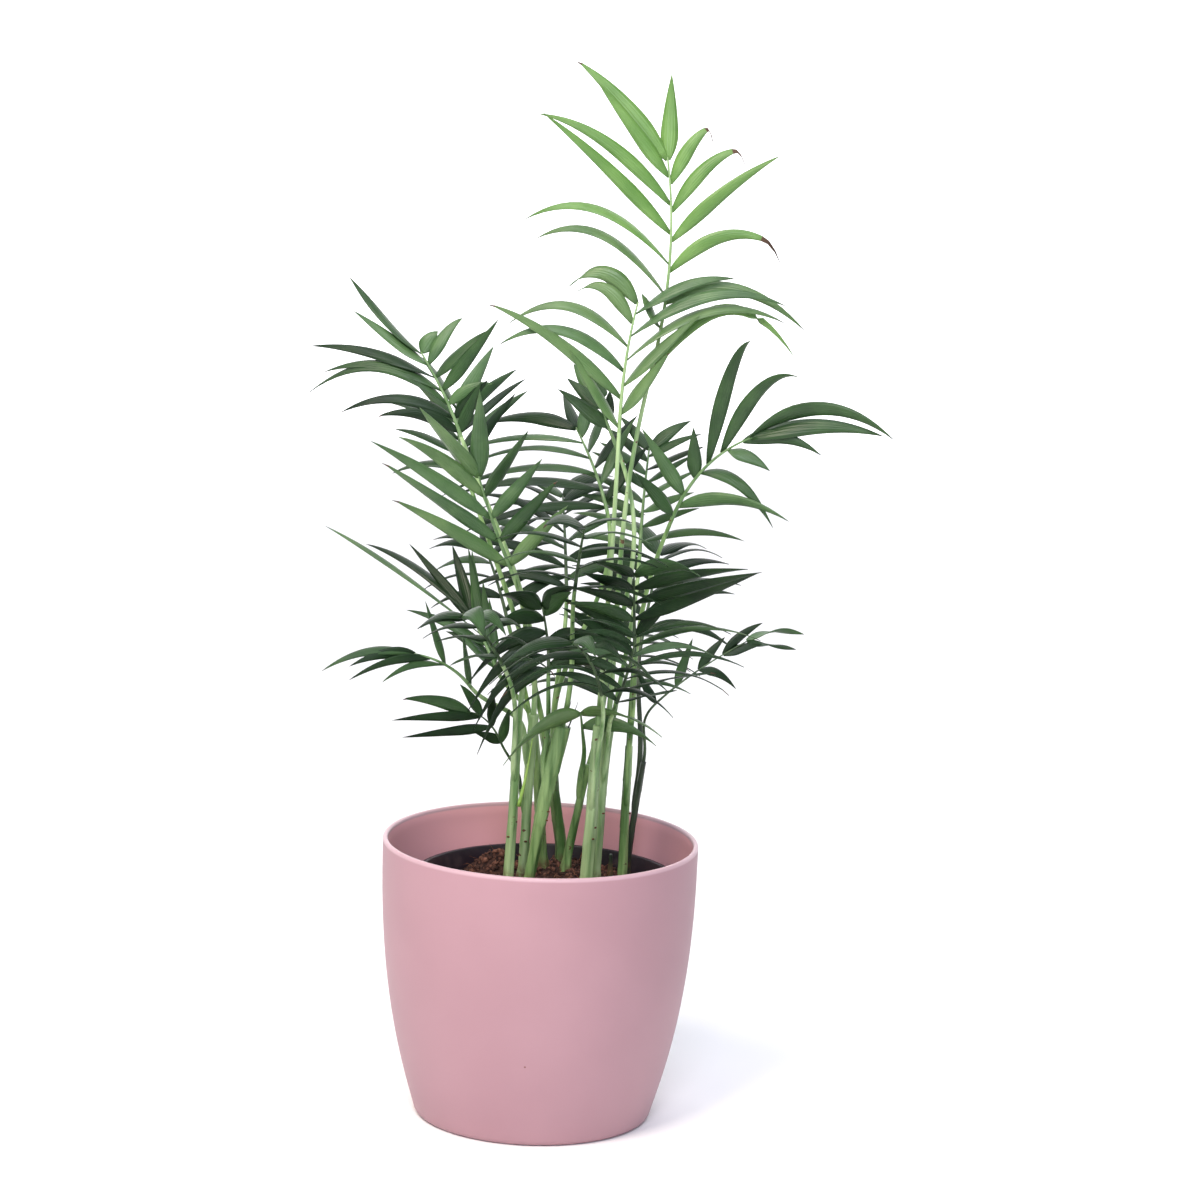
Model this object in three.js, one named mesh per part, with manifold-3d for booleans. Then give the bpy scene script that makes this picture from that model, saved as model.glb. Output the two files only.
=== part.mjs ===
// A young parlour palm: a clump of seedlings in a black nursery pot, stood in a pink cover pot.
// Millimetres, +Z up, the middle of the cover pot's flat underside at the origin, the front towards -Y.
import * as THREE from "three";
import { mergeVertices } from "three/addons/utils/BufferGeometryUtils.js";
import Module from "manifold-3d";

const wasm = await Module();
wasm.setup();

// Clear space left between two pieces that meet.
const GAP = 0.3;

// Cover pot: a tapering tub whose wall curves in towards a small flat foot.
const COVER = {
  height: 144,
  rimRadius: 80.2,
  footRadius: 59.7,
  curve: 2.42,
  wall: 2.6,
  floor: 3,
  edge: 4,
  bevel: 0.3,
  lip: 0.8,
  sides: 48,
};

// Nursery pot: a plain thin pot with a turned rim, which stands on the cover pot's floor.
const NURSERY = {
  offset: 3.5,
  top: 124.7,
  rimRadius: 68,
  rimWidth: 2.6,
  rimDepth: 6,
  neckRadius: 64.5,
  footRadius: 50,
  wall: 1.3,
  sides: 40,
};

// Soil: a root ball whose top rises to a heap round the stems, with two crumbly lumps.
const SOIL = {
  rim: 113,
  heap: 10,
  heapAt: [14, 14],
  heapSpread: 40,
  lumps: [
    { at: [-24, 44], rise: 12, spread: 9 },
    { at: [14, 48], rise: 7, spread: 12 },
    { at: [36, 34], rise: 3, spread: 10 },
  ],
  rings: 7,
  sides: 36,
};

// Stems: x and y of the foot at the soil, the tip, and the width at foot and tip.
const STEMS = {
  a: { foot: [-16, 4], tip: [-13, 2, 204], wide: [5.4, 3.8] },
  b: { foot: [-9, 17], tip: [-6, 12, 206], wide: [4.8, 5] },
  c: { foot: [-6, -3], tip: [9, -4, 204], wide: [5, 8.4] },
  d: { foot: [1, 34], tip: [-6, 24, 196], wide: [5, 4.4] },
  e: { foot: [11, 44], tip: [-1, 34, 194], wide: [6, 5] },
  f: { foot: [13, 22], tip: [23, 14, 180], wide: [4.4, 3.6] },
  g: { foot: [24, -6], tip: [27, -8, 206], wide: [6.8, 4.8] },
  h: { foot: [28, 8], tip: [32, 4, 204], wide: [5.6, 4.6] },
  i: { foot: [42, 10], tip: [43, 8, 192], wide: [5, 3.8] },
  j: { foot: [44, 31], tip: [51, 26, 180], wide: [3.6, 2.8] },
  stub: { foot: [36, 26], tip: [36, 24, 131], wide: [2.4, 1.6] },
};
const STEM = { sides: 6, steps: 5, bend: 0.4, flare: 1.35, flareLength: 6, soundings: 8 };

// Fronds: the stem each grows from and how far below its tip, then where the rachis with its leaflets
// begins, where its middle is and where it ends.
// face: compass bearing and rise, in degrees, of the way its upper side looks; 0 is the front.
// pairs, wide: the steps from the first pair of leaflets to the last, and how broad a leaflet is.
// lead: how far the right leaflet of a pair sits ahead of the left one, as a share of a step.
// loose: how much its leaflets stray from their sizes.
// left, right: a leaflet's angle to the rachis, its length, its fall as a share of that, and how far its
// blade is turned edge on at the root. They are given at places spaced evenly from the first pair to the last.
const FRONDS = [
  { name: "crown", stem: "h", drop: 0, neck: [47, 0, 386], mid: [54, 6, 440], tip: [51, 16, 491],
    face: [0, 0], pairs: 7, wide: 8, lead: -0.25, loose: 0,
    left: [[30, 0, 0, 0], [40, 20, 0, 80], [42, 113, 1, 70], [44, 112, 0.9, 70], [44, 96, 0.17, 15],
     [38, 104, 0.53, 20], [32, 60, 0.05, 30], [28, 80, 0.35, 0]],
    right: [[19, 139, 1.56, 20], [40, 0, 0, 0], [52, 84, 0.8, 30], [39, 84, 0.9, 0], [42, 80, 0.3, 0],
     [33, 73, 0.88, 20], [28, 56, 1.1, 20], [9, 43, 0, 0]] },
  { name: "second", stem: "g", drop: 0, neck: [32, -14, 359], mid: [34, -8, 391], tip: [39, 0, 420],
    face: [0, 0], pairs: 5, wide: 8, lead: 0.45, loose: 0,
    left: [[36, 46, 0, 60], [49, 97, 0.35, 10], [50, 92, 0.9, 30], [51, 90, 0.98, 55], [40, 58, 1.3, 0],
     [48, 62, 1.3, 0]],
    right: [[35, 40, 0, 50], [38, 56, 0.15, 60], [38, 113, 0.78, 75], [42, 103, 0.66, 70],
     [41, 64, 0.45, 70], [41, 80, 0.52, 70]] },
  { name: "right_high", stem: "i", drop: 0, neck: [61, -2, 314], mid: [76, -8, 340], tip: [98, -12, 356],
    face: [0, 0], pairs: 6, wide: 8.5, lead: 0.4, loose: 0,
    left: [[58, 33, 0.1, 55], [58, 43, 0, 10], [38, 28, 0, 0], [34, 129, 1.5, 0], [30, 104, 1.2, 0],
     [24, 104, 0.9, 40], [18, 96, 0.82, 60]],
    right: [[41, 63, 0.48, 10], [40, 0, 0, 0], [34, 40, 0.95, 70], [40, 0, 0, 0], [42, 22, 0.3, 75],
     [4, 43, 0.55, 10], [1, 72, 0.35, 60]] },
  { name: "left_high", stem: "b", drop: 0, neck: [-48, 10, 350], mid: [-57, 14, 369], tip: [-69, 22, 388],
    face: [0, 15], pairs: 6, wide: 7.5, lead: 0, loose: 0,
    left: [[36, 50, 0.5, 0], [36, 67, 0.6, 40], [21, 97, 0.9, 50], [29, 72, 0.55, 60], [35, 71, 0.28, 75],
     [25, 47, 0, 50], [19, 49, -0.2, 70]],
    right: [[43, 28, 0, 0], [60, 28, 0.2, 0], [74, 31, 0.46, 0], [67, 45, -0.05, 0], [71, 40, 0.26, 20],
     [55, 43, 0.92, 0], [58, 19, 0.77, 0]] },
  { name: "left_front", stem: "a", drop: 0, neck: [-20, -24, 289], mid: [-29, -32, 313], tip: [-36, -44, 337],
    face: [0, -10], pairs: 4, wide: 8.5, lead: 0, loose: 0,
    left: [[31, 74, 0.1, 10], [32, 76, 0, 20], [29, 84, 0.12, 30], [22, 72, 0.28, 15], [20, 55, 0, 0]],
    right: [[57, 50, 0.1, 0], [55, 48, 0, 0], [49, 46, 0, 0], [40, 49, 0, 0], [12, 56, 0, 0]] },
  { name: "second_left", stem: "e", drop: 0, neck: [-45, 26, 328], mid: [-49, 38, 341], tip: [-51, 56, 355],
    face: [20, 20], pairs: 4, wide: 7.5, lead: 0.35, loose: 1.5,
    left: [[60, 42, 0.4, 10], [55, 44, 0.35, 20], [30, 46, 0.3, 10]],
    right: [[44, 58, 0.2, 10], [39, 60, 0.15, 20], [24, 54, 0.1, 10]] },
  { name: "middle_back", stem: "e", drop: 12, neck: [27, 36, 310], mid: [20, 48, 328], tip: [10, 70, 345],
    face: [0, 30], pairs: 5, wide: 7, lead: 0.35, loose: 1.5,
    left: [[66, 70, 0.45, 10], [58, 80, 0.45, 20], [40, 60, 0.4, 10]],
    right: [[50, 40, 0.3, 10], [45, 44, 0.25, 20], [10, 34, 0.2, 10]] },
  { name: "middle_high", stem: "g", drop: 14, neck: [31, 6, 346], mid: [25, 12, 359], tip: [19, 24, 372],
    face: [0, 10], pairs: 3, wide: 8.5, lead: 0.35, loose: 1,
    left: [[40, 0, 0.1, 10], [30, 34, 0.1, 20], [22, 27, 0.1, 10], [12, 22, 0.1, 10]],
    right: [[40, 0, 0.2, 10], [30, 16, 0.2, 20], [20, 16, 0.2, 20], [8, 18, 0.2, 10]] },
  { name: "right_mid", stem: "i", drop: 16, neck: [44, -12, 244], mid: [43, -16, 265], tip: [42, -32, 288],
    face: [0, 0], pairs: 5, wide: 8, lead: 0.1, loose: 0.3,
    left: [[50, 50, 0.2, 10], [50, 50, 0.2, 20], [52, 45, 0.2, 20], [52, 42, 0.1, 20], [55, 32, 0, 10],
     [42, 30, 0.1, 0]],
    right: [[50, 0, 0.3, 20], [36, 45, 0.1, 40], [60, 72, 0, 40], [60, 74, 0.05, 0], [57, 68, 0.12, 45],
     [36, 58, 0.45, 20]] },
  { name: "right_low", stem: "h", drop: 16, neck: [36, -20, 221], mid: [41, -34, 241], tip: [44, -58, 263],
    face: [180, 40], pairs: 6, wide: 7, lead: 0.1, loose: 0.3,
    left: [[64, 31, 0.1, 60], [62, 50, 0.14, 60], [56, 58, 0.6, 50], [48, 69, 0.5, 40], [40, 58, 0.55, 10],
     [45, 80, 0.45, 70], [42, 66, 0.5, 60]],
    right: [[60, 50, 0.6, 10], [55, 54, 0.6, 20], [45, 48, 0.5, 10]] },
  { name: "right_dark", stem: "j", drop: 0, neck: [56, 12, 214], mid: [76, 18, 230], tip: [102, 24, 246],
    face: [10, 20], pairs: 4, wide: 6, lead: 0, loose: 0.3,
    left: [[80, 20, 0, 10], [33, 26, 0, 0], [24, 25, 0.3, 0], [19, 32, 0.42, 40], [-1, 34, 0.4, 140]],
    right: [[20, 0, 0, 0], [10, 0, 0, 0], [24, 20, 0.7, 60], [5, 24, 0.2, 40], [34, 25, 0.1, 140]] },
  { name: "ladder", stem: "h", drop: 30, neck: [45, 28, 291], mid: [46, 40, 315], tip: [48, 56, 338],
    face: [-20, 20], pairs: 7, wide: 6, lead: 0.35, loose: 1,
    left: [[62, 40, 0.3, 10], [53, 42, 0.25, 20], [40, 30, 0.2, 10]],
    right: [[76, 66, 0.42, 50], [70, 34, 0.12, 30], [68, 32, 0.1, 20], [66, 32, 0.1, 30], [66, 32, 0.1, 20],
     [64, 32, 0.1, 20], [60, 32, 0.2, 10], [45, 30, 0.3, 0]] },
  { name: "left_low", stem: "b", drop: 14, neck: [-38, -10, 224], mid: [-50, -18, 236], tip: [-66, -26, 243],
    face: [10, 30], pairs: 4, wide: 5.2, lead: 0, loose: 0,
    left: [[25, 0, 0, 0], [20, 0, 0.45, 20], [12, 40, 0.5, 70], [12, 48, 0.35, 0], [-8, 51, 0.5, 40]],
    right: [[27, 31, 0.2, 0], [38, 0, 0, 0], [43, 35, 0.1, 0], [50, 0, 0, 0], [-2, 36, 0.34, 40]] },
  { name: "left_mid", stem: "d", drop: 0, neck: [-26, 22, 227], mid: [-33, 28, 240], tip: [-41, 36, 253],
    face: [0, 20], pairs: 5, wide: 6.5, lead: 0.35, loose: 0.3,
    left: [[20, 30, 0.2, 60], [25, 30, 0.3, 40], [30, 49, 0.26, 40], [24, 106, 0.15, 80], [10, 58, 0.1, 0],
     [15, 80, 0.35, 40]],
    right: [[20, 36, 0.2, 10], [20, 40, 0.2, 20], [16, 50, 0, 10], [20, 44, 0.1, 20], [10, 0, 0, 0],
     [14, 40, 0.1, 30]] },
  { name: "left_hang", stem: "a", drop: 16, neck: [-22, -24, 239], mid: [-32, -44, 259], tip: [-41, -66, 272],
    face: [180, 55], pairs: 4, wide: 9, lead: 0.35, loose: 1,
    left: [[60, 40, 0.7, 60], [50, 44, 0.7, 60], [35, 38, 0.7, 40]],
    right: [[60, 26, 0.5, 60], [50, 28, 0.5, 60], [35, 26, 0.5, 40]] },
  { name: "left_foot", stem: "b", drop: 40, neck: [-22, 6, 192], mid: [-29, 0, 204], tip: [-38, -6, 210],
    face: [0, 10], pairs: 3, wide: 6, lead: 0, loose: 0.3,
    left: [[30, 18, 0.2, 20], [51, 50, 0, 50], [24, 53, 0.08, 0], [-12, 43, 0.25, 0]],
    right: [[30, 24, 0.2, 10], [30, 26, 0.2, 20], [24, 30, 0.3, 10], [10, 0, 0.3, 10]] },
  { name: "middle_left", stem: "c", drop: 18, neck: [1, -4, 232], mid: [0, -10, 249], tip: [-3, -20, 268],
    face: [0, 10], pairs: 5, wide: 9, lead: 0.35, loose: 1,
    left: [[85, 36, 1.2, 40], [66, 40, 0.8, 50], [35, 34, 0.4, 30]],
    right: [[66, 34, 0.5, 30], [58, 40, 0.5, 40], [35, 34, 0.4, 30]] },
  { name: "middle_front", stem: "c", drop: 0, neck: [13, -34, 281], mid: [15, -52, 302], tip: [17, -78, 320],
    face: [180, 45], pairs: 4, wide: 9, lead: 0.35, loose: 1,
    left: [[70, 44, 0.5, 50], [57, 48, 0.5, 55], [35, 40, 0.4, 40]],
    right: [[70, 46, 0.5, 50], [57, 50, 0.5, 55], [35, 40, 0.4, 40]] },
  { name: "middle_low", stem: "g", drop: 30, neck: [28, -30, 227], mid: [22, -50, 247], tip: [13, -80, 263],
    face: [180, 45], pairs: 4, wide: 9, lead: 0.35, loose: 1,
    left: [[65, 46, 0.7, 50], [52, 50, 0.7, 55], [35, 40, 0.6, 40]],
    right: [[65, 50, 0.7, 50], [52, 52, 0.7, 55], [35, 42, 0.6, 40]] },
  { name: "front_low", stem: "f", drop: 4, neck: [20, 8, 193], mid: [19, 2, 202], tip: [18, -6, 211],
    face: [0, 10], pairs: 2, wide: 9.5, lead: 0, loose: 0,
    left: [[75, 0, 0, 0], [55, 27, 0.7, 20], [66, 42, 0.6, 30]],
    right: [[75, 0, 0, 0], [60, 42, 0.55, 40], [66, 58, 0.36, 30]] },
  { name: "back_left", stem: "d", drop: 12, neck: [-22, 56, 246], mid: [-30, 78, 266], tip: [-38, 104, 278],
    face: [0, 45], pairs: 5, wide: 7.5, lead: 0.35, loose: 1.5,
    left: [[60, 38, 0.5, 10], [50, 40, 0.5, 20], [30, 36, 0.4, 10]],
    right: [[60, 58, 0.5, 10], [50, 62, 0.5, 20], [30, 50, 0.4, 10]] },
  { name: "back_middle", stem: "e", drop: 26, neck: [8, 66, 262], mid: [6, 86, 286], tip: [4, 112, 302],
    face: [0, 45], pairs: 6, wide: 7.5, lead: 0.35, loose: 1.5,
    left: [[60, 60, 0.5, 10], [50, 64, 0.5, 20], [30, 52, 0.4, 10]],
    right: [[60, 60, 0.5, 10], [50, 64, 0.5, 20], [30, 52, 0.4, 10]] },
  { name: "back_right", stem: "j", drop: 14, neck: [48, 50, 240], mid: [52, 70, 260], tip: [56, 96, 276],
    face: [0, 45], pairs: 5, wide: 7.5, lead: 0.35, loose: 1.5,
    left: [[60, 52, 0.5, 10], [50, 56, 0.5, 20], [30, 46, 0.4, 10]],
    right: [[60, 52, 0.5, 10], [50, 56, 0.5, 20], [30, 46, 0.4, 10]] },
  { name: "back_low", stem: "f", drop: 10, neck: [30, 58, 206], mid: [34, 80, 222], tip: [40, 108, 230],
    face: [0, 60], pairs: 5, wide: 7, lead: 0.35, loose: 1.5,
    left: [[60, 52, 0.5, 10], [50, 54, 0.5, 20], [30, 44, 0.4, 10]],
    right: [[60, 52, 0.5, 10], [50, 54, 0.5, 20], [30, 44, 0.4, 10]] },
];

// Petiole and rachis of every frond, by their radius, and its leaflets. reach is how straight the petiole
// leaves its stem and meets the rachis, as a share of the way between them.
const RIB = { foot: 1.6, neck: 1.15, tip: 0.55, sides: 3, petioleSteps: 5, rachisSteps: 4, reach: 0.4 };
const LEAF = {
  steps: 3,
  rootWidth: 0.2,
  broadest: 0.35,
  taper: 1.9,
  slenderness: 80,
  thinnest: 0.6,
  lift: 12,
  gather: 0.1,
  lastPlace: 0.985,
  endWidth: 1.25,
  varied: { opening: 4, lift: 6, length: 0.05, width: 0.08, sag: 0.2, turn: 20 },
};

// A three-sided blade in a circle of radius 1, and the finest detail kept where pieces are fused.
const TRIANGLE = { height: 1.5, half: Math.sin(Math.PI / 3) };
const FINEST = 0.05;

// What a leaflet tries when its place is taken: a swing away from the rachis and a lift, in degrees.
const SHIFTS = [[0, 0], [0, 8], [0, -8], [6, 0], [-6, 0], [8, 8], [-8, 8], [8, -8], [-8, -8],
  [0, 16], [0, -16], [14, 0], [-14, 0], [14, 12], [-14, 12]];

const COLOURS = {
  cover: 0xd99aa0,
  nursery: 0x1f1b24,
  soil: 0x4a3428,
  stem: 0x7fa862,
  youngFrond: 0x7d9f45,
  frond: 0x3f7a3c,
};

const UP = new THREE.Vector3(0, 0, 1);
const FRONT = new THREE.Vector3(0, -1, 0);
const vector = (p) => new THREE.Vector3(p[0], p[1], p[2]);
const radians = THREE.MathUtils.degToRad;
const lerp = THREE.MathUtils.lerp;

// The same run of numbers each time, spread evenly between -amount and amount.
const RUN = { start: 20240, factor: 16807, modulus: 2147483647 };
let seed = RUN.start;
function vary(amount) {
  seed = (seed * RUN.factor) % RUN.modulus;
  return ((seed / RUN.modulus) * 2 - 1) * amount;
}

// A closed geometry as a manifold-3d solid, and back.
function solid(geometry) {
  const plain = geometry.clone();
  plain.deleteAttribute("normal");
  plain.deleteAttribute("uv");
  const merged = mergeVertices(plain, 1e-4);
  return new wasm.Manifold(
    new wasm.Mesh({
      numProp: 3,
      vertProperties: merged.attributes.position.array,
      triVerts: new Uint32Array(merged.index.array),
    }),
  );
}

function geometryOf(body) {
  const mesh = body.getMesh();
  const geometry = new THREE.BufferGeometry();
  geometry.setAttribute("position", new THREE.BufferAttribute(mesh.vertProperties, 3));
  geometry.setIndex(new THREE.BufferAttribute(mesh.triVerts, 1));
  geometry.computeVertexNormals();
  return geometry;
}

// Fuses pieces into one and fills any hollow that they seal between them.
function fused(pieces) {
  const shells = wasm.Manifold.union(pieces).simplify(FINEST).decompose();
  return wasm.Manifold.compose(shells.filter((shell) => shell.volume() > 0));
}

const group = new THREE.Group();
group.name = "parlour_palm";

function add(name, geometry, colour, roughness) {
  const material = new THREE.MeshStandardMaterial({ color: colour, roughness, metalness: 0 });
  const mesh = new THREE.Mesh(geometry, material);
  mesh.name = name;
  group.add(mesh);
  return mesh;
}

// Turns a profile of [radius, height] pairs about the vertical through x = offset.
function turned(profile, sides, offset = 0) {
  const points = profile.map(([radius, height]) => new THREE.Vector2(radius, height));
  return new THREE.LatheGeometry(points, sides).rotateX(Math.PI / 2).translate(offset, 0, 0);
}

// ---- Cover pot ----
function coverRadius(z) {
  const depth = (COVER.height - z) / COVER.height;
  return COVER.rimRadius - (COVER.rimRadius - COVER.footRadius) * depth ** COVER.curve;
}

const outsideHeights = [0.1, 0.22, 0.36, 0.52, 0.75].map((share) => share * COVER.height);
const insideHeights = [0.7, 0.45, 0.25, 0.12].map((share) => share * COVER.height);
const coverProfile = [
  [0, 0],
  [COVER.footRadius - COVER.edge, 0],
  [COVER.footRadius - COVER.edge * COVER.bevel, COVER.edge * COVER.bevel],
  [coverRadius(COVER.edge), COVER.edge],
  ...outsideHeights.map((z) => [coverRadius(z), z]),
  [COVER.rimRadius, COVER.height - COVER.lip],
  [COVER.rimRadius - COVER.lip, COVER.height],
  [COVER.rimRadius - COVER.wall + COVER.lip / 2, COVER.height],
  [COVER.rimRadius - COVER.wall, COVER.height - COVER.lip],
  ...insideHeights.map((z) => [coverRadius(z) - COVER.wall, z]),
  [coverRadius(COVER.floor) - COVER.wall - COVER.edge, COVER.floor],
  [0, COVER.floor],
];
add("cover_pot", turned(coverProfile, COVER.sides), COLOURS.cover, 0.45);

// ---- Nursery pot ----
const nurseryFoot = COVER.floor + GAP;
const nurseryShoulder = NURSERY.top - NURSERY.rimDepth;
const nurseryProfile = [
  [0, nurseryFoot],
  [NURSERY.footRadius, nurseryFoot],
  [NURSERY.neckRadius, nurseryShoulder],
  [NURSERY.rimRadius, nurseryShoulder],
  [NURSERY.rimRadius, NURSERY.top],
  [NURSERY.rimRadius - NURSERY.rimWidth, NURSERY.top],
  [NURSERY.neckRadius - NURSERY.wall, nurseryShoulder],
  [NURSERY.footRadius - NURSERY.wall, nurseryFoot + NURSERY.wall],
  [0, nurseryFoot + NURSERY.wall],
];
add("nursery_pot", turned(nurseryProfile, NURSERY.sides, NURSERY.offset), COLOURS.nursery, 0.5);

// ---- Soil ----
function soilTop(x, y) {
  const hump = ({ at, rise, spread }) =>
    rise * Math.exp(-((x - at[0]) ** 2 + (y - at[1]) ** 2) / (2 * spread ** 2));
  const heap = hump({ at: SOIL.heapAt, rise: SOIL.heap, spread: SOIL.heapSpread / 2 });
  return SOIL.rim + heap + SOIL.lumps.reduce((sum, lump) => sum + hump(lump), 0);
}

const soilFoot = nurseryFoot + NURSERY.wall + GAP;
function nurseryInside(z) {
  const share = (z - nurseryFoot - NURSERY.wall) / (nurseryShoulder - nurseryFoot - NURSERY.wall);
  return lerp(NURSERY.footRadius, NURSERY.neckRadius, share) - NURSERY.wall - GAP;
}
// The many-sided pots touch a circle only at their corners, so the soil keeps inside their flats.
const flats = Math.cos(Math.PI / NURSERY.sides);
const soilRadius = nurseryInside(SOIL.rim) * flats;
const soilRings = Array.from({ length: SOIL.rings }, (_, i) => [
  (soilRadius * (SOIL.rings - i)) / SOIL.rings,
  SOIL.rim,
]);
const soilShape = turned(
  [[0, soilFoot], [nurseryInside(soilFoot) * flats, soilFoot], ...soilRings, [0, SOIL.rim]],
  SOIL.sides,
);
const soilPoints = soilShape.attributes.position;
const soilMargin = soilRadius / SOIL.rings / 2;
for (let i = 0; i < soilPoints.count; i++) {
  const x = soilPoints.getX(i);
  const y = soilPoints.getY(i);
  const onTop = soilPoints.getZ(i) > SOIL.rim - GAP;
  const atEdge = Math.hypot(x, y) > soilRadius - soilMargin;
  if (onTop && !atEdge) soilPoints.setZ(i, soilTop(x + NURSERY.offset, y));
}
soilShape.translate(NURSERY.offset, 0, 0);
add("soil", soilShape, COLOURS.soil, 0.95);

// ---- Limbs ----
// Bends an upright unit cylinder along a path. at(t) gives a centre, two unit directions across it and a
// half-width along each.
function alongPath(cylinder, at) {
  const points = cylinder.attributes.position;
  for (let i = 0; i < points.count; i++) {
    const across = points.getX(i);
    const out = points.getZ(i);
    const { centre, side, face, half, deep } = at(points.getY(i) + 0.5);
    const placed = centre
      .clone()
      .addScaledVector(side, across * half)
      .addScaledVector(face, out * deep);
    points.setXYZ(i, placed.x, placed.y, placed.z);
  }
  return cylinder;
}

// Directions across a path: side is square to the path and to the way its face looks.
function crossways(tangent, look) {
  const side = tangent.clone().cross(look).normalize();
  const face = side.clone().cross(tangent).normalize();
  return { side, face };
}

// Every solid of a stem or frond that later leaflets keep clear of.
const taken = [];
function take(owner, body) {
  taken.push({ owner, body, box: body.boundingBox() });
}

function near(a, b) {
  return [0, 1, 2].every((k) => a.min[k] - GAP < b.max[k] && b.min[k] - GAP < a.max[k]);
}

function isFree(owner, body) {
  const box = body.boundingBox();
  return taken.every(
    (other) =>
      other.owner === owner || !near(box, other.box) || body.minGap(other.body, 2 * GAP) >= GAP,
  );
}

// ---- Stems ----
const stemPaths = {};
for (const [name, { foot, tip, wide }] of Object.entries(STEMS)) {
  // It stands on the highest soil under its flared foot, cut flat.
  const spread = (wide[0] / 2) * STEM.flare;
  const soundings = Array.from({ length: STEM.soundings }, (_, i) => {
    const turn = (i * 2 * Math.PI) / STEM.soundings;
    return soilTop(foot[0] + spread * Math.cos(turn), foot[1] + spread * Math.sin(turn));
  });
  const start = new THREE.Vector3(foot[0], foot[1], Math.max(...soundings) + GAP);
  const end = vector(tip);
  const rise = start.clone().lerp(end, STEM.bend);
  rise.z = (start.z + end.z) / 2;
  const curve = new THREE.QuadraticBezierCurve3(start, rise, end);
  const length = curve.getLength();
  const cylinder = new THREE.CylinderGeometry(1, 1, 1, STEM.sides, STEM.steps);
  alongPath(cylinder, (t) => {
    const flat = t === 0 ? UP : curve.getTangent(t);
    const swell = 1 + (STEM.flare - 1) * Math.max(0, 1 - (t * length) / STEM.flareLength);
    const half = (lerp(wide[0], wide[1], t) / 2) * swell;
    return { centre: curve.getPoint(t), ...crossways(flat, FRONT), half, deep: half };
  });
  const body = solid(cylinder);
  take(name, body);
  add("stem_" + name, geometryOf(body), COLOURS.stem, 0.6);
  stemPaths[name] = { curve, end, wide };
}

// ---- Fronds ----
// A frond's rib: the petiole leaves its stem along the stem and the rachis arches on from it.
function ribOf({ stem, drop, neck, mid, tip }) {
  const from = stemPaths[stem];
  const along = 1 - drop / from.curve.getLength();
  const up = from.curve.getTangent(along);
  const foot = from.curve.getPoint(along);
  const start = vector(neck);
  const end = vector(tip);
  if (drop > 0) {
    const out = start.clone().sub(foot).projectOnPlane(up).normalize();
    const half = lerp(from.wide[0], from.wide[1], along) / 2;
    foot.addScaledVector(out, half + RIB.foot + GAP);
  } else {
    foot.addScaledVector(up, GAP);
  }
  const bend = vector(mid).multiplyScalar(2).addScaledVector(start, -0.5).addScaledVector(end, -0.5);
  const reach = start.distanceTo(foot) * RIB.reach;
  const leave = foot.clone().addScaledVector(up, reach);
  const arrive = start.clone().addScaledVector(bend.clone().sub(start).normalize(), -reach);
  return {
    petiole: new THREE.CubicBezierCurve3(foot, leave, arrive, start),
    rachis: new THREE.QuadraticBezierCurve3(start, bend, end),
  };
}

function lookOf([bearing, rise]) {
  const level = Math.cos(radians(rise));
  return new THREE.Vector3(
    Math.sin(radians(bearing)) * level,
    -Math.cos(radians(bearing)) * level,
    Math.sin(radians(rise)),
  );
}

function ribSolid({ petiole, rachis }, look) {
  const steps = RIB.petioleSteps + RIB.rachisSteps;
  const share = RIB.petioleSteps / steps;
  const cylinder = new THREE.CylinderGeometry(1, 1, 1, RIB.sides, steps);
  return solid(
    alongPath(cylinder, (t) => {
      const low = t <= share;
      const curve = low ? petiole : rachis;
      const place = low ? t / share : (t - share) / (1 - share);
      const half = low ? lerp(RIB.foot, RIB.neck, place) : lerp(RIB.neck, RIB.tip, place);
      const across = crossways(curve.getTangent(place), look);
      return { centre: curve.getPoint(place), ...across, half, deep: half };
    }),
  );
}

// Share of a leaflet's width at a place along it, from its narrow root to its drawn-out tip.
function outline(t) {
  const opening = Math.min(1, t / LEAF.broadest);
  const widening = LEAF.rootWidth + (1 - LEAF.rootWidth) * (1 - (1 - opening) ** 2);
  return widening * (1 - t ** LEAF.taper);
}

// An upright three-sided blade of height 1 whose sides run straight up and meet in a point at the top.
// Where it will turn the other way, its facets are split along their other diagonal, so that they swell
// outwards and never cross.
function bladeGeometry(mirrored) {
  const cone = new THREE.ConeGeometry(1, 1, 3, LEAF.steps);
  if (mirrored) {
    cone.scale(-1, 1, 1);
    cone.index.array.reverse();
  }
  const points = cone.attributes.position;
  for (let i = 0; i < points.count; i++) {
    const taper = 0.5 - points.getY(i);
    if (taper > 1e-6) {
      points.setX(i, points.getX(i) / taper / TRIANGLE.half);
      points.setZ(i, points.getZ(i) / taper / TRIANGLE.height);
    }
  }
  return cone;
}

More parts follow.
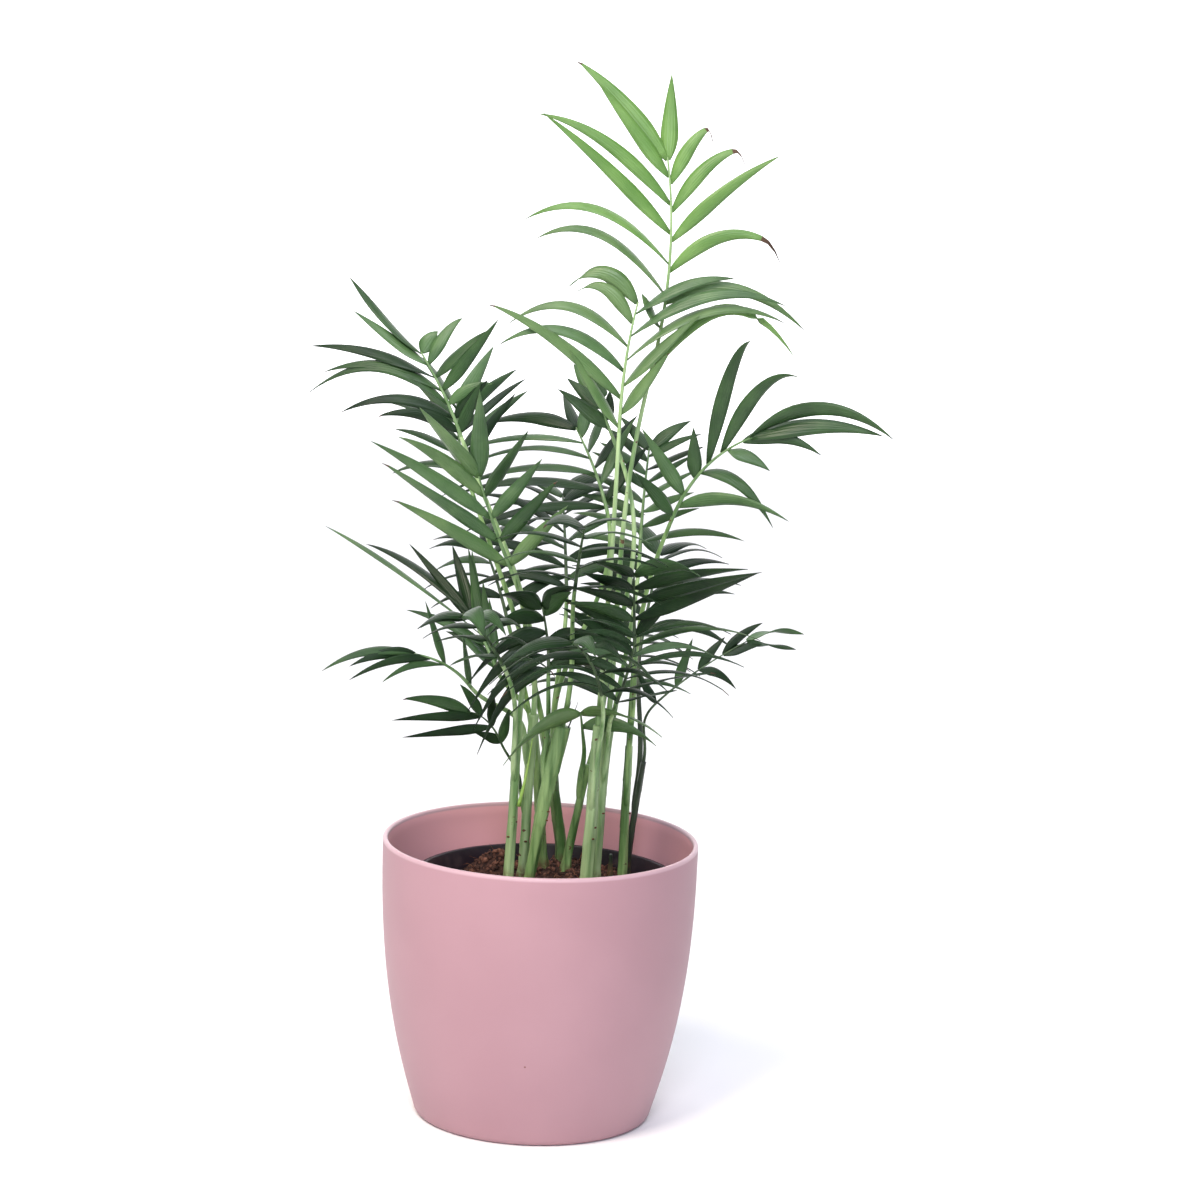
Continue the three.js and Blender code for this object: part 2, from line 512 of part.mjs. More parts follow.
// A leaflet heads off straight and falls away as a thrown stone does, the more so the flatter it heads.
// Its blade, turned with the lower edge forward at the root, comes round to face front at its tip.
function leafletSolid({ root, heading, face, hand, length, width, sag, turn }) {
  const fall = sag * Math.hypot(heading.x, heading.y);
  const thick = Math.max(LEAF.thinnest, length / LEAF.slenderness);
  const broad = heading.clone().cross(face).normalize();
  return solid(
    alongPath(bladeGeometry(turn * hand > 0), (t) => {
      const centre = root
        .clone()
        .addScaledVector(heading, length * t)
        .addScaledVector(UP, -length * fall * t * t);
      const tangent = heading.clone().addScaledVector(UP, -2 * fall * t).normalize();
      const side = broad.clone().projectOnPlane(tangent).normalize();
      const up = side.clone().cross(tangent).normalize();
      const roll = radians(turn) * hand * (1 - t);
      const across = side.clone().multiplyScalar(Math.cos(roll)).addScaledVector(up, Math.sin(roll));
      up.multiplyScalar(Math.cos(roll)).addScaledVector(side, -Math.sin(roll));
      return { centre, side: across, face: up, half: (width / 2) * outline(t), deep: t < 1 ? thick : 0 };
    }),
  );
}

// Angle, length, fall and turn on one side of a frond, at a share of the way from first pair to last.
function sideAt(places, share) {
  const at = share * (places.length - 1);
  const below = Math.min(Math.floor(at), places.length - 2);
  return places[below].map((value, k) => lerp(value, places[below + 1][k], at - below));
}

function leafletsOf({ pairs, wide, lead, loose, left, right }) {
  const stray = (name) => vary(LEAF.varied[name] * loose);
  const leaflets = [];
  for (let i = 0; i <= pairs; i++) {
    const last = i === pairs;
    for (const hand of [-1, 1]) {
      const [angle, length, sag, turn] = sideAt(hand < 0 ? left : right, i / pairs);
      const share = (i + (last ? 0 : Math.max(0, hand * lead))) / pairs;
      const leaflet = {
        place: Math.min(share * (1 + LEAF.gather * (1 - share)), LEAF.lastPlace),
        hand,
        opening: angle + stray("opening"),
        lift: LEAF.lift + stray("lift"),
        length: length * (1 + stray("length")),
        width: wide * (last ? LEAF.endWidth : 1) * (1 + stray("width")),
        sag: sag * (1 + stray("sag")),
        turn: turn + stray("turn"),
      };
      if (length > 0) leaflets.push(leaflet);
    }
  }
  return leaflets;
}

function placeLeaflet(leaflet, rib, look, [swing, raise]) {
  const root = rib.rachis.getPoint(leaflet.place);
  const tangent = rib.rachis.getTangent(leaflet.place);
  const { side, face } = crossways(tangent, look);
  const open = radians(leaflet.opening + swing);
  const lift = radians(leaflet.lift + raise);
  const heading = tangent
    .clone()
    .multiplyScalar(Math.cos(open))
    .addScaledVector(side, leaflet.hand * Math.sin(open) * Math.cos(lift))
    .addScaledVector(face, Math.sin(open) * Math.sin(lift))
    .normalize();
  root.addScaledVector(side, (leaflet.hand * RIB.tip) / 2);
  return leafletSolid({ ...leaflet, root, heading, face });
}

// All ribs are set out first, and then each frond's leaflets in turn take places that are still free.
const ribs = new Map();
for (const frond of FRONDS) {
  const rib = ribOf(frond);
  const look = lookOf(frond.face);
  const body = ribSolid(rib, look);
  ribs.set(frond.name, { rib, look, body });
  take(frond.name, body);
}

for (const frond of FRONDS) {
  const { rib, look, body } = ribs.get(frond.name);
  const blades = [];
  for (const leaflet of leafletsOf(frond)) {
    for (const shift of SHIFTS) {
      const blade = placeLeaflet(leaflet, rib, look, shift);
      if (isFree(frond.name, blade)) {
        blades.push(blade);
        break;
      }
    }
  }
  blades.forEach((blade) => take(frond.name, blade));
  const colour = frond.name === "crown" ? COLOURS.youngFrond : COLOURS.frond;
  add("frond_" + frond.name, geometryOf(fused([body, ...blades])), colour, 0.55);
}

export default group;
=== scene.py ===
# A young parlour palm in a black nursery pot, stood in a pink cover pot.
# Metres, +Z up, the middle of the cover pot's flat underside at the origin, the front towards -Y.
import math
import random
import bmesh
import bpy
from mathutils import Matrix, Vector, noise
from mathutils.kdtree import KDTree


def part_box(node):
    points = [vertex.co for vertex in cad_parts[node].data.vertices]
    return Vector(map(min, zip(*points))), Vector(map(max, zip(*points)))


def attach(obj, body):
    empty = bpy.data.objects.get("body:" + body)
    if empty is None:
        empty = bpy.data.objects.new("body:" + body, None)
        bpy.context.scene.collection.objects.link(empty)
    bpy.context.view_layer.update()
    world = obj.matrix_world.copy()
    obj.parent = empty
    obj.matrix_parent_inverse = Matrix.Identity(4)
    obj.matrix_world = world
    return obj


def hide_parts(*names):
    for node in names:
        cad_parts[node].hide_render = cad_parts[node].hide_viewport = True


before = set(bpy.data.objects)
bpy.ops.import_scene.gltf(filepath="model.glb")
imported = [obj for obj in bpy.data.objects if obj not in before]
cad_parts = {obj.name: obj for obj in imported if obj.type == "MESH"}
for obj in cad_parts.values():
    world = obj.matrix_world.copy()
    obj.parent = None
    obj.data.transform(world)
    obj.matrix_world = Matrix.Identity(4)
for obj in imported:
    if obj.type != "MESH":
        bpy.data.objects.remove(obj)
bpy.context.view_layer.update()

# ---- Camera, floor and studio ----
# A long lens looks down on the plant from the front, tipped slightly to one side. The floor is painted
# white, and the white wall behind glows. Three broad, soft lamps hang above: the strongest at the front
# left, a weaker one in front and the weakest overhead.
scene = bpy.context.scene
scene.view_settings.view_transform = "Standard"
SENSOR_MM = 36
LENS_MM = 129.93
CAMERA_AT = (0.0256, -2.1388, 0.6859)
CAMERA_DOWN = math.radians(11.037)
CAMERA_ROLL = math.radians(2.12)
PLANT_MIDDLE = Vector((0, 0, 0.25))
lens = bpy.data.cameras.new("camera")
lens.sensor_width = SENSOR_MM
lens.lens = LENS_MM
camera = bpy.data.objects.new("camera", lens)
scene.collection.objects.link(camera)
camera.matrix_world = (
    Matrix.Translation(CAMERA_AT)
    @ Matrix.Rotation(math.pi / 2 - CAMERA_DOWN, 4, "X")
    @ Matrix.Rotation(CAMERA_ROLL, 4, "Z")
)
scene.camera = camera


def tint(red, green, blue):
    """A colour given by its screen values from 0 to 255, as Blender's linear one."""
    shares = [value / 255 for value in (red, green, blue)]
    return tuple(s / 12.92 if s < 0.04 else ((s + 0.055) / 1.055) ** 2.4 for s in shares) + (1,)


def lamp(name, at, size, watts, colour):
    """A square soft lamp turned towards the middle of the plant."""
    light = bpy.data.lights.new(name, "AREA")
    light.size = size
    light.energy = watts
    light.color = colour[:3]
    holder = bpy.data.objects.new(name, light)
    scene.collection.objects.link(holder)
    holder.location = at
    holder.rotation_euler = (PLANT_MIDDLE - Vector(at)).to_track_quat("-Z", "Y").to_euler()


lamp("key_lamp", at=(-0.9, -1.3, 2.0), size=0.9, watts=48, colour=tint(255, 240, 224))
lamp("front_lamp", at=(0.1, -2.1, 1.7), size=0.8, watts=31, colour=tint(238, 241, 255))
lamp("top_lamp", at=(0.1, -0.1, 1.9), size=1.2, watts=9, colour=tint(246, 248, 255))

world = bpy.data.worlds.new("studio")
scene.world = world
world.use_nodes = True
sky = world.node_tree.nodes["Background"]
sky.inputs["Color"].default_value = tint(228, 238, 255)
sky.inputs["Strength"].default_value = 0.4


def paint(name, **values):
    """A material with these even values in its shader, and that shader. _ in a name is a space."""
    material = bpy.data.materials.new(name)
    material.use_nodes = True
    shader = material.node_tree.nodes["Principled BSDF"]
    for socket, value in values.items():
        shader.inputs[socket.replace("_", " ")].default_value = value
    return material, shader


def sheet(name, half, matrix, material):
    """A flat square sheet of the studio, put in its place by a matrix."""
    shape = bmesh.new()
    bmesh.ops.create_grid(shape, x_segments=2, y_segments=2, size=half)
    mesh = bpy.data.meshes.new(name)
    shape.to_mesh(mesh)
    shape.free()
    mesh.materials.append(material)
    made = bpy.data.objects.new(name, mesh)
    scene.collection.objects.link(made)
    made.matrix_world = matrix
    return made


FLOOR_HALF = 6.0
floor_paint = paint("floor_paint", Base_Color=tint(248, 248, 248), Roughness=0.9)[0]
floor = sheet("floor", FLOOR_HALF, Matrix(), floor_paint)

WALL_BEHIND = 2.2
WALL_HALF = 3.0
wall_glow = paint("lit_wall_glow", Base_Color=tint(250, 250, 250), Emission_Strength=0.8)[0]
wall_place = Matrix.Translation((0, WALL_BEHIND, WALL_HALF)) @ Matrix.Rotation(math.pi / 2, 4, "X")
wall = sheet("lit_wall", WALL_HALF, wall_place, wall_glow)

# ---- Cover pot ----
# The pink tub is one moulding of matt plastic: a wall that curves in towards a small flat foot, and a
# rounded lip that handling has left a little glossier, painted paler as a highlight. It stands loose on
# its foot.
MM = 0.001
UP = Vector((0, 0, 1))
WELD = 0.01 * MM
cover_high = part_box("cover_pot")[1]
COVER_HEIGHT = cover_high.z
COVER_RADIUS = cover_high.x
COVER_FOOT = 59.7 * MM
COVER_CURVE = 2.42
COVER_WALL = 2.6 * MM
COVER_FLOOR = 3 * MM
COVER_EDGE = 4 * MM
COVER_LIP = 1.25 * MM
COVER_RINGS = 26
COVER_SEGMENTS = 144


def cover_radius(z):
    """The radius of the wall's outside at a height."""
    depth = (COVER_HEIGHT - z) / COVER_HEIGHT
    return COVER_RADIUS - (COVER_RADIUS - COVER_FOOT) * depth**COVER_CURVE


def arc(centre, radius, start, end, steps):
    """Points of (radius, height) round a centre, between two angles in degrees."""
    turns = [math.radians(start + (end - start) * i / steps) for i in range(steps + 1)]
    return [(centre[0] + radius * math.cos(a), centre[1] + radius * math.sin(a)) for a in turns]


def spun(profile, segments, offset=0.0):
    """Turns a profile of (radius, height) pairs about the upright line through x = offset."""
    shape = bmesh.new()
    rings = []
    for radius, height in profile:
        turns = [math.tau * i / segments for i in range(segments if radius else 1)]
        places = [(offset + radius * math.cos(a), radius * math.sin(a), height) for a in turns]
        rings.append([shape.verts.new(place) for place in places])
    for ring, following in zip(rings, rings[1:]):
        for i in range(segments):
            corners = [ring[i % len(ring)], ring[(i + 1) % len(ring)]]
            corners += [following[(i + 1) % len(following)], following[i % len(following)]]
            shape.faces.new(list(dict.fromkeys(corners)))
    bmesh.ops.recalc_face_normals(shape, faces=shape.faces)
    return shape


def placed(name, shape, materials, nodes=()):
    """A finished piece made of a shape: smooth, riding with the plant, in place of its nodes."""
    mesh = bpy.data.meshes.new(name)
    for face in shape.faces:
        face.smooth = True
    shape.to_mesh(mesh)
    shape.free()
    for material in materials:
        mesh.materials.append(material)
    piece = bpy.data.objects.new(name, mesh)
    scene.collection.objects.link(piece)
    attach(piece, "root")
    if nodes:
        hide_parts(*nodes)
    return piece


def join(shape, part, kind=None):
    """Adds a part to a shape, with its faces in that material or in those they have."""
    if kind is not None:
        for face in part.faces:
            face.material_index = kind
    passing = bpy.data.meshes.new("passing")
    part.to_mesh(passing)
    part.free()
    shape.from_mesh(passing)
    bpy.data.meshes.remove(passing)


class Shade:
    """One output socket of a material's nodes. Sums on it add Math nodes."""

    def __init__(self, tree, socket=None):
        self.tree = tree
        self.socket = socket

    def node(self, kind, settings, sockets, output=0):
        """Adds a node of any kind, with its settings, and values or links for its sockets."""
        made = self.tree.nodes.new("ShaderNode" + kind)
        for setting, value in settings.items():
            setattr(made, setting, value)
        for socket, value in sockets.items():
            if isinstance(value, Shade):
                self.tree.links.new(value.socket, made.inputs[socket])
            else:
                made.inputs[socket].default_value = value
        return Shade(self.tree, made.outputs[output])

    def sum(self, operation, first, second):
        """A Math node of two values or Shades."""
        return self.node("Math", {"operation": operation}, {0: first, 1: second})

    def __add__(self, other):
        return self.sum("ADD", self, other)

    def __sub__(self, other):
        return self.sum("SUBTRACT", self, other)

    def __rsub__(self, other):
        return self.sum("SUBTRACT", other, self)

    def __mul__(self, other):
        return self.sum("MULTIPLY", self, other)

    __radd__ = __add__
    __rmul__ = __mul__

    def between(self, low, high):
        """0 below low, 1 above high, smooth in between."""
        sockets = {"Value": self, "From Min": low, "From Max": high}
        return self.node("MapRange", {"interpolation_type": "SMOOTHSTEP"}, sockets)

    def mixed(self, first, second):
        """The first colour where this is 0, and the second where it is 1. A Mix node's colours are its
        sockets 6 and 7, and its output 2."""
        return self.node("Mix", {"data_type": "RGBA"}, {0: self, 6: first, 7: second}, output=2)

    def place(self):
        """The place in the plant's own frame, in metres."""
        return self.node("TexCoord", {}, {}, output="Object")

    def height(self):
        """The height above the ground, in metres."""
        return self.node("SeparateXYZ", {}, {0: self.place()}, output="Z")

    def grain(self, scale, detail=3, stretch=(1, 1, 1), roughness=0.5):
        """Noise from about 0 to 1."""
        stretched = self.node("Mapping", {}, {"Vector": self.place(), "Scale": stretch})
        sockets = {"Vector": stretched, "Scale": scale, "Detail": detail, "Roughness": roughness}
        return self.node("TexNoise", {}, sockets)


def finish(name, **values):
    """A painted material, its shader, and the Shade that its pattern starts from."""
    material, shader = paint(name, **values)
    return material, shader, Shade(material.node_tree)


def wire(shader, start, colour, bump, depth, roughness=None):
    """Links a pattern's colour, relief and roughness to its shader."""
    relief = start.node("Bump", {}, {"Height": bump, "Distance": depth, "Strength": 1})
    for socket, shade in {"Base Color": colour, "Normal": relief, "Roughness": roughness}.items():
        if shade:
            start.tree.links.new(shade.socket, shader.inputs[socket])


cover_rise = COVER_HEIGHT - COVER_LIP - COVER_EDGE
cover_outside = [COVER_EDGE + cover_rise * i / COVER_RINGS for i in range(COVER_RINGS + 1)]
cover_inside = [z for z in reversed(cover_outside) if z > COVER_FLOOR + COVER_EDGE]
cover_profile = [(0, 0)]
cover_profile += arc((cover_radius(COVER_EDGE) - COVER_EDGE, COVER_EDGE), COVER_EDGE, -90, -10, 6)
cover_profile += [(cover_radius(z), z) for z in cover_outside[1:]]
cover_profile += arc((COVER_RADIUS - COVER_LIP, COVER_HEIGHT - COVER_LIP), COVER_LIP, 20, 160, 8)
cover_profile += [(cover_radius(z) - COVER_WALL, z) for z in cover_inside]
cover_profile += [(cover_radius(COVER_FLOOR) - COVER_WALL - COVER_EDGE, COVER_FLOOR), (0, COVER_FLOOR)]

# A speck of dirt on the front of the wall, and the heights between which the lip's gloss and its painted
# highlight come in.
SPECK_AT = (-3.1 * MM, -71.9 * MM, 45 * MM)
SPECK_CORE = 0.28 * MM
SPECK_RADIUS = 0.7 * MM
LIP_GLOSS_AND_PAINTED_HIGHLIGHT = (COVER_HEIGHT - 2.4 * MM, COVER_HEIGHT - 1.2 * MM)


def pink_plastic(name, first, second, speckled):
    """Matt moulded plastic, faintly cloudy and grained, with a glossier lip painted paler as a highlight.
    """
    material, shader, start = finish(name, Specular_IOR_Level=0.42)
    pink = start.grain(14, detail=2).between(0.3, 0.7).mixed(tint(*first), tint(*second))
    lip_gloss_and_highlight = start.height().between(*LIP_GLOSS_AND_PAINTED_HIGHLIGHT)
    # The lip's paler pink is a painted highlight; the lower roughness below is its gloss.
    pink = lip_gloss_and_highlight.mixed(pink, tint(198, 164, 172))
    if speckled:
        ends = {0: start.place(), 1: SPECK_AT}
        away = start.node("VectorMath", {"operation": "DISTANCE"}, ends, output="Value")
        pink = away.between(SPECK_CORE, SPECK_RADIUS).mixed(tint(128, 84, 82), pink)
    roughness = 0.46 + 0.06 * start.grain(60) - 0.14 * lip_gloss_and_highlight
    relief = start.grain(1400, detail=2)
    wire(shader, start, colour=pink, roughness=roughness, bump=relief, depth=0.03 * MM)
    return material


# The inside is the same plastic painted much paler than the outside: painted light on the inner wall.
cover_plastic = pink_plastic("pink_plastic", (170, 131, 139), (175, 136, 144), True)
cover_lining_painted_light = pink_plastic("pink_plastic_inside", (235, 174, 181), (239, 178, 185), False)
cover_shape = spun(cover_profile, COVER_SEGMENTS)
# Faces of the inner wall above the floor take the paler copy, the painted light.
for face in cover_shape.faces:
    middle = face.calc_center_median()
    outwards = Vector((middle.x, middle.y, 0))
    face.material_index = int(middle.z > COVER_FLOOR - COVER_WALL and face.normal.dot(outwards) < 0)
placed("cover_pot_shell", cover_shape, [cover_plastic, cover_lining_painted_light], ["cover_pot"])

# ---- Nursery pot ----
# The grower's pot inside is thin black plastic with a stiff turned rim. It is drawn from sheet, so it
# is satin, faintly ribbed round, and dusty with dried compost. It stands loose on the cover pot's floor.
nursery_low, nursery_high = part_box("nursery_pot")
NURSERY_OFFSET = (nursery_low.x + nursery_high.x) / 2
NURSERY_TOP = nursery_high.z
NURSERY_RIM = nursery_high.x - NURSERY_OFFSET
NURSERY_RIM_DEPTH = 6 * MM
NURSERY_SHOULDER = NURSERY_TOP - NURSERY_RIM_DEPTH
NURSERY_RIM_WIDTH = 2.6 * MM
NURSERY_NECK = 64.5 * MM
NURSERY_FOOT = 50 * MM
NURSERY_WALL = 1.3 * MM
NURSERY_SEGMENTS = 120
NURSERY_RINGS = 16
NURSERY_RIB = 0.12 * MM
RIM_ROUND = 0.9 * MM


def nursery_wall(inset):
    """Points up the pot's sloping wall, from its floor to its shoulder, with faint ribs."""
    points = []
    for i in range(NURSERY_RINGS + 1):
        share = i / NURSERY_RINGS
        radius = NURSERY_FOOT + (NURSERY_NECK - NURSERY_FOOT) * share
        z = nursery_low.z + inset + (NURSERY_SHOULDER - nursery_low.z - inset) * share
        points.append((radius - inset - NURSERY_RIB * (i % 2), z))
    return points


nursery_profile = [(0, nursery_low.z)] + nursery_wall(0)
nursery_profile += arc((NURSERY_RIM - RIM_ROUND, NURSERY_SHOULDER + RIM_ROUND), RIM_ROUND, -90, 0, 3)
nursery_profile += arc((NURSERY_RIM - RIM_ROUND, NURSERY_TOP - RIM_ROUND), RIM_ROUND, 0, 90, 4)
rim_inside = NURSERY_RIM - NURSERY_RIM_WIDTH
nursery_profile += arc((rim_inside + RIM_ROUND, NURSERY_TOP - RIM_ROUND), RIM_ROUND, 90, 180, 4)
nursery_profile += list(reversed(nursery_wall(NURSERY_WALL))) + [(0, nursery_low.z + NURSERY_WALL)]

nursery_plastic, nursery_shader, start = finish("black_plastic", Specular_IOR_Level=0.5)
dust = start.grain(120, detail=5).between(0.5, 0.75)
dusty = dust.mixed(tint(36, 28, 36), tint(58, 44, 48))
relief = start.grain(500, detail=2)
wire(nursery_shader, start, colour=dusty, roughness=0.34 + 0.3 * dust, bump=relief, depth=0.05 * MM)
nursery_shape = spun(nursery_profile, NURSERY_SEGMENTS, NURSERY_OFFSET)
placed("nursery_pot_shell", nursery_shape, [nursery_plastic], ["nursery_pot"])

# ---- Soil ----
# The pot is filled with coir and bark compost: a bed heaped round the stems, with crumbly lumps at the
# back, loose crumbs over it and short coir fibres sticking out. It is dry and brown on top.
soil_low, soil_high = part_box("soil")
SOIL_RIM = 113 * MM
SOIL_RADIUS = (soil_high.x - soil_low.x) / 2
SOIL_TAPER = 0.78
SOIL_FOOT = SOIL_RADIUS * SOIL_TAPER
# x, y, rise and spread, in millimetres, of the heap and of each lump.
SOIL_HUMPS = [(14, 14, 10, 20), (-24, 44, 12, 9), (14, 48, 7, 12), (36, 34, 3, 10)]
SOIL_RINGS = 54
SOIL_SEGMENTS = 150
CLOD_GRAIN = 170
CLOD_OCTAVES = 4
CLOD_RISE = 1.6
CLOD_SINK = 0.9


def soil_top(x, y):
    """The height of the bed's smooth surface at x, y."""
    rise = 0
    for hump_x, hump_y, high, spread in SOIL_HUMPS:
        away = (x / MM - hump_x) ** 2 + (y / MM - hump_y) ** 2
        rise += high * math.exp(-away / (2 * spread**2))
    return SOIL_RIM + rise * MM


def crumble(place):
    """How far the rough surface stands off the smooth one."""
    clods = noise.turbulence(place * CLOD_GRAIN, CLOD_OCTAVES, False)
    return (CLOD_RISE * clods - CLOD_SINK) * MM


soil_profile = [(0, soil_low.z), (SOIL_FOOT, soil_low.z), (SOIL_RADIUS, SOIL_RIM)]
soil_profile += [(SOIL_RADIUS * i / SOIL_RINGS, SOIL_RIM) for i in reversed(range(SOIL_RINGS))]
soil_shape = spun(soil_profile, SOIL_SEGMENTS, NURSERY_OFFSET)
for point in soil_shape.verts:
    inward = SOIL_RADIUS - math.hypot(point.co.x - NURSERY_OFFSET, point.co.y)
    if point.co.z > SOIL_RIM - WELD:
        point.co.z = soil_top(point.co.x, point.co.y)
        if inward > SOIL_RADIUS / SOIL_RINGS / 2:
            point.co.z += crumble(point.co)


def compost(name, dark, light):
    """Compost of two browns, mottled crumb by crumb."""
    material, shader, start = finish(name, Roughness=0.95, Specular_IOR_Level=0.15)
    mottle = start.grain(420, detail=5, roughness=0.7).between(0.35, 0.68)
    crumbs = start.grain(900, detail=5, roughness=0.7)
    brown = mottle.mixed(tint(*dark), tint(*light))
    wire(shader, start, colour=brown, bump=crumbs, depth=0.7 * MM)
    return material


soil_dark = compost("dark_compost", (40, 28, 26), (84, 58, 50))
soil_brown = compost("brown_coir", (74, 50, 42), (132, 92, 76))
soil_fibre = compost("coir_fibre", (110, 66, 48), (168, 118, 88))
placed("soil_bed", soil_shape, [soil_dark], ["soil"])

# Crumbs are squashed, dented balls of many sizes, thickest on the lumps.
CRUMBS = 900
CRUMB_SIZES = (0.7, 2.4)
CRUMB_WIDTHS = (0.6, 1)
CRUMB_DEPTHS = (0.45, 0.9)
CRUMB_PERCH = 0.2
CRUMB_DENTS = 0.35
CRUMB_GRAIN = 700
NEAR_HUMPS = 0.65
SOIL_MARGIN = 2.5 * MM
rolls = random.Random(41)


def soil_place():
    """A place on the bed, drawn towards the humps two times out of three."""
    while True:
        hump_x, hump_y, _, spread = rolls.choice(SOIL_HUMPS)
        if rolls.random() < NEAR_HUMPS:
            x = rolls.gauss(hump_x, spread) * MM
            y = rolls.gauss(hump_y, spread) * MM
        else:
            x = NURSERY_OFFSET + rolls.uniform(-1, 1) * SOIL_RADIUS
            y = rolls.uniform(-1, 1) * SOIL_RADIUS
        if math.hypot(x - NURSERY_OFFSET, y) < SOIL_RADIUS - SOIL_MARGIN:
            return Vector((x, y, soil_top(x, y)))


crumb_shape = bmesh.new()
for _ in range(CRUMBS):
    place = soil_place()
    size = rolls.uniform(*CRUMB_SIZES) * rolls.random() ** 0.5 * MM
    place.z += crumble(place) + CRUMB_PERCH * size
    squash = Matrix.Diagonal((1, rolls.uniform(*CRUMB_WIDTHS), rolls.uniform(*CRUMB_DEPTHS), 1))
    turn = Matrix.Rotation(rolls.uniform(0, math.tau), 4, Vector((rolls.random(), rolls.random(), 1)))
    matrix = Matrix.Translation(place) @ turn @ squash
    crumb = bmesh.new()
    bmesh.ops.create_icosphere(crumb, subdivisions=1, radius=size, matrix=matrix)
    for point in crumb.verts:
        point.co += (point.co - place) * CRUMB_DENTS * noise.noise(point.co * CRUMB_GRAIN)
    join(crumb_shape, crumb, rolls.choice((0, 1, 1)))
placed("soil_crumbs", crumb_shape, [soil_dark, soil_brown])


def limb(sides, steps, at, kind_at=None):
    """An upright cylinder bent along a path. at(t, turn) gives a centre, two unit directions across the
    path and a half-width along each, at a share t of the way and an angle round it. kind_at(t) gives the
    material there."""
    shape = bmesh.new()
    bmesh.ops.create_cone(shape, cap_ends=True, segments=sides, radius1=1, radius2=1, depth=1)
    upright = [edge for edge in shape.edges if edge.verts[0].co.z * edge.verts[1].co.z < 0]
    bmesh.ops.subdivide_edges(shape, edges=upright, cuts=steps - 1)
    if kind_at:
        for face in shape.faces:
            face.material_index = kind_at(face.calc_center_median().z + 0.5)
    for point in shape.verts:
        across, out, t = point.co.x, point.co.y, point.co.z + 0.5
        centre, side, face, half, deep = at(t, math.atan2(out, across))
        point.co = centre + side * across * half + face * out * deep
    return shape


def bezier(points, t):
    """The point at t on a quadratic or cubic curve."""
    while len(points) > 1:
        points = [a.lerp(b, t) for a, b in zip(points, points[1:])]
    return points[0]


def heading(points, t):
    """The unit direction of the curve at t."""
    step = 1e-4
    return (bezier(points, min(1, t + step)) - bezier(points, max(0, t - step))).normalized()


def crossways(tangent, look):
    """Directions across a path: one square to it and to the way its face looks, and that face."""
    side = tangent.cross(look).normalized()
    return side, side.cross(tangent).normalized()


# Fibres are hair-thin and curl as they dry. A thicker root hair stands up among the stems.
FIBRES = 150
FIBRE_HALF = 0.11 * MM
FIBRE_HALVES = (0.7, 1.6)
FIBRE_SUNK = 1 * MM
FIBRE_REACHES = (3, 8)
FIBRE_CURL = 3
STRAND_TAPER = 0.8
STRAND_LOOK = Vector((0.1, -1, 0.2))


def strand(points, half, steps=6, sides=4):
    """A thin round strand along a curve, tapering towards its end."""

    def at(t, turn):
        side, face = crossways(heading(points, t), STRAND_LOOK)
        width = half * (1 - STRAND_TAPER * t)
        return bezier(points, t), side, face, width, width

    return limb(sides, steps, at)


def in_metres(places):
    """The points of a curve that is given in millimetres."""
    return [Vector(place) * MM for place in places]


def any_way(low, high):
    """A random way across the soil that rises between low and high."""
    return Vector((rolls.uniform(-1, 1), rolls.uniform(-1, 1), rolls.uniform(low, high)))


fibre_shape = bmesh.new()
for _ in range(FIBRES):
    foot = soil_place()
    foot.z -= FIBRE_SUNK
    bend = foot + any_way(0.1, 0.9) * rolls.uniform(*FIBRE_REACHES) * MM
    end = bend + any_way(-0.6, 0.5) * FIBRE_CURL * MM
    join(fibre_shape, strand([foot, bend, end], FIBRE_HALF * rolls.uniform(*FIBRE_HALVES)))
ROOT_HAIR = in_metres(((10, 20, 113), (9, 19, 120), (12.5, 20, 127)))
ROOT_HAIR_HALF = 0.3 * MM
join(fibre_shape, strand(ROOT_HAIR, ROOT_HAIR_HALF))
placed("coir_fibres", fibre_shape, [soil_fibre])

# A dry twig, paler than the fibres, stands in the soil at the right.
TWIG = in_metres(((57, 30, 110), (57.5, 30, 116), (59.5, 29, 122)))
TWIG_HALF = 0.5 * MM
twig_shape = strand(TWIG, TWIG_HALF, steps=8, sides=6)
twig_straw, twig_shader, start = finish("dry_straw", Roughness=0.8)
streaks = start.grain(500, stretch=(1, 1, 0.2))
straw = streaks.mixed(tint(176, 140, 110), tint(214, 186, 150))
wire(twig_shader, start, colour=straw, bump=streaks, depth=0.2 * MM)
placed("dry_twig", twig_shape, [twig_straw])

# ---- Stems ----
# Each seedling's stem is a slim green cane wrapped in the sheaths of its leaf stalks, so it is furrowed
# lengthwise, ringed where a sheath ends and marked with small brown scars. It grows up out of the soil.

# The skins come in the order of the stems' materials. Each stem has its foot, its tip and its width at
# both, in millimetres, and its skin.
PALE, GREEN, DARK, SCAR, YOUNG = range(5)
STEMS = {
    "a": ((-16, 4), (-13, 2, 204), (5.4, 3.8), PALE),
    "b": ((-9, 17), (-6, 12, 206), (4.8, 5), PALE),
    "c": ((-6, -3), (9, -4, 204), (5, 8.4), GREEN),
    "d": ((1, 34), (-6, 24, 196), (5, 4.4), GREEN),
    "e": ((11, 44), (-1, 34, 194), (6, 5), GREEN),
    "f": ((13, 22), (23, 14, 180), (4.4, 3.6), GREEN),
    "g": ((24, -6), (27, -8, 206), (6.8, 4.8), PALE),
    "h": ((28, 8), (32, 4, 204), (5.6, 4.6), PALE),
    "i": ((42, 10), (43, 8, 192), (5, 3.8), GREEN),
    "j": ((44, 31), (51, 26, 180), (3.6, 2.8), DARK),
    "stub": ((36, 26), (36, 24, 131), (2.4, 1.6), DARK),
}
STEM_BEND = 0.4
STEM_FLARE = 1.35
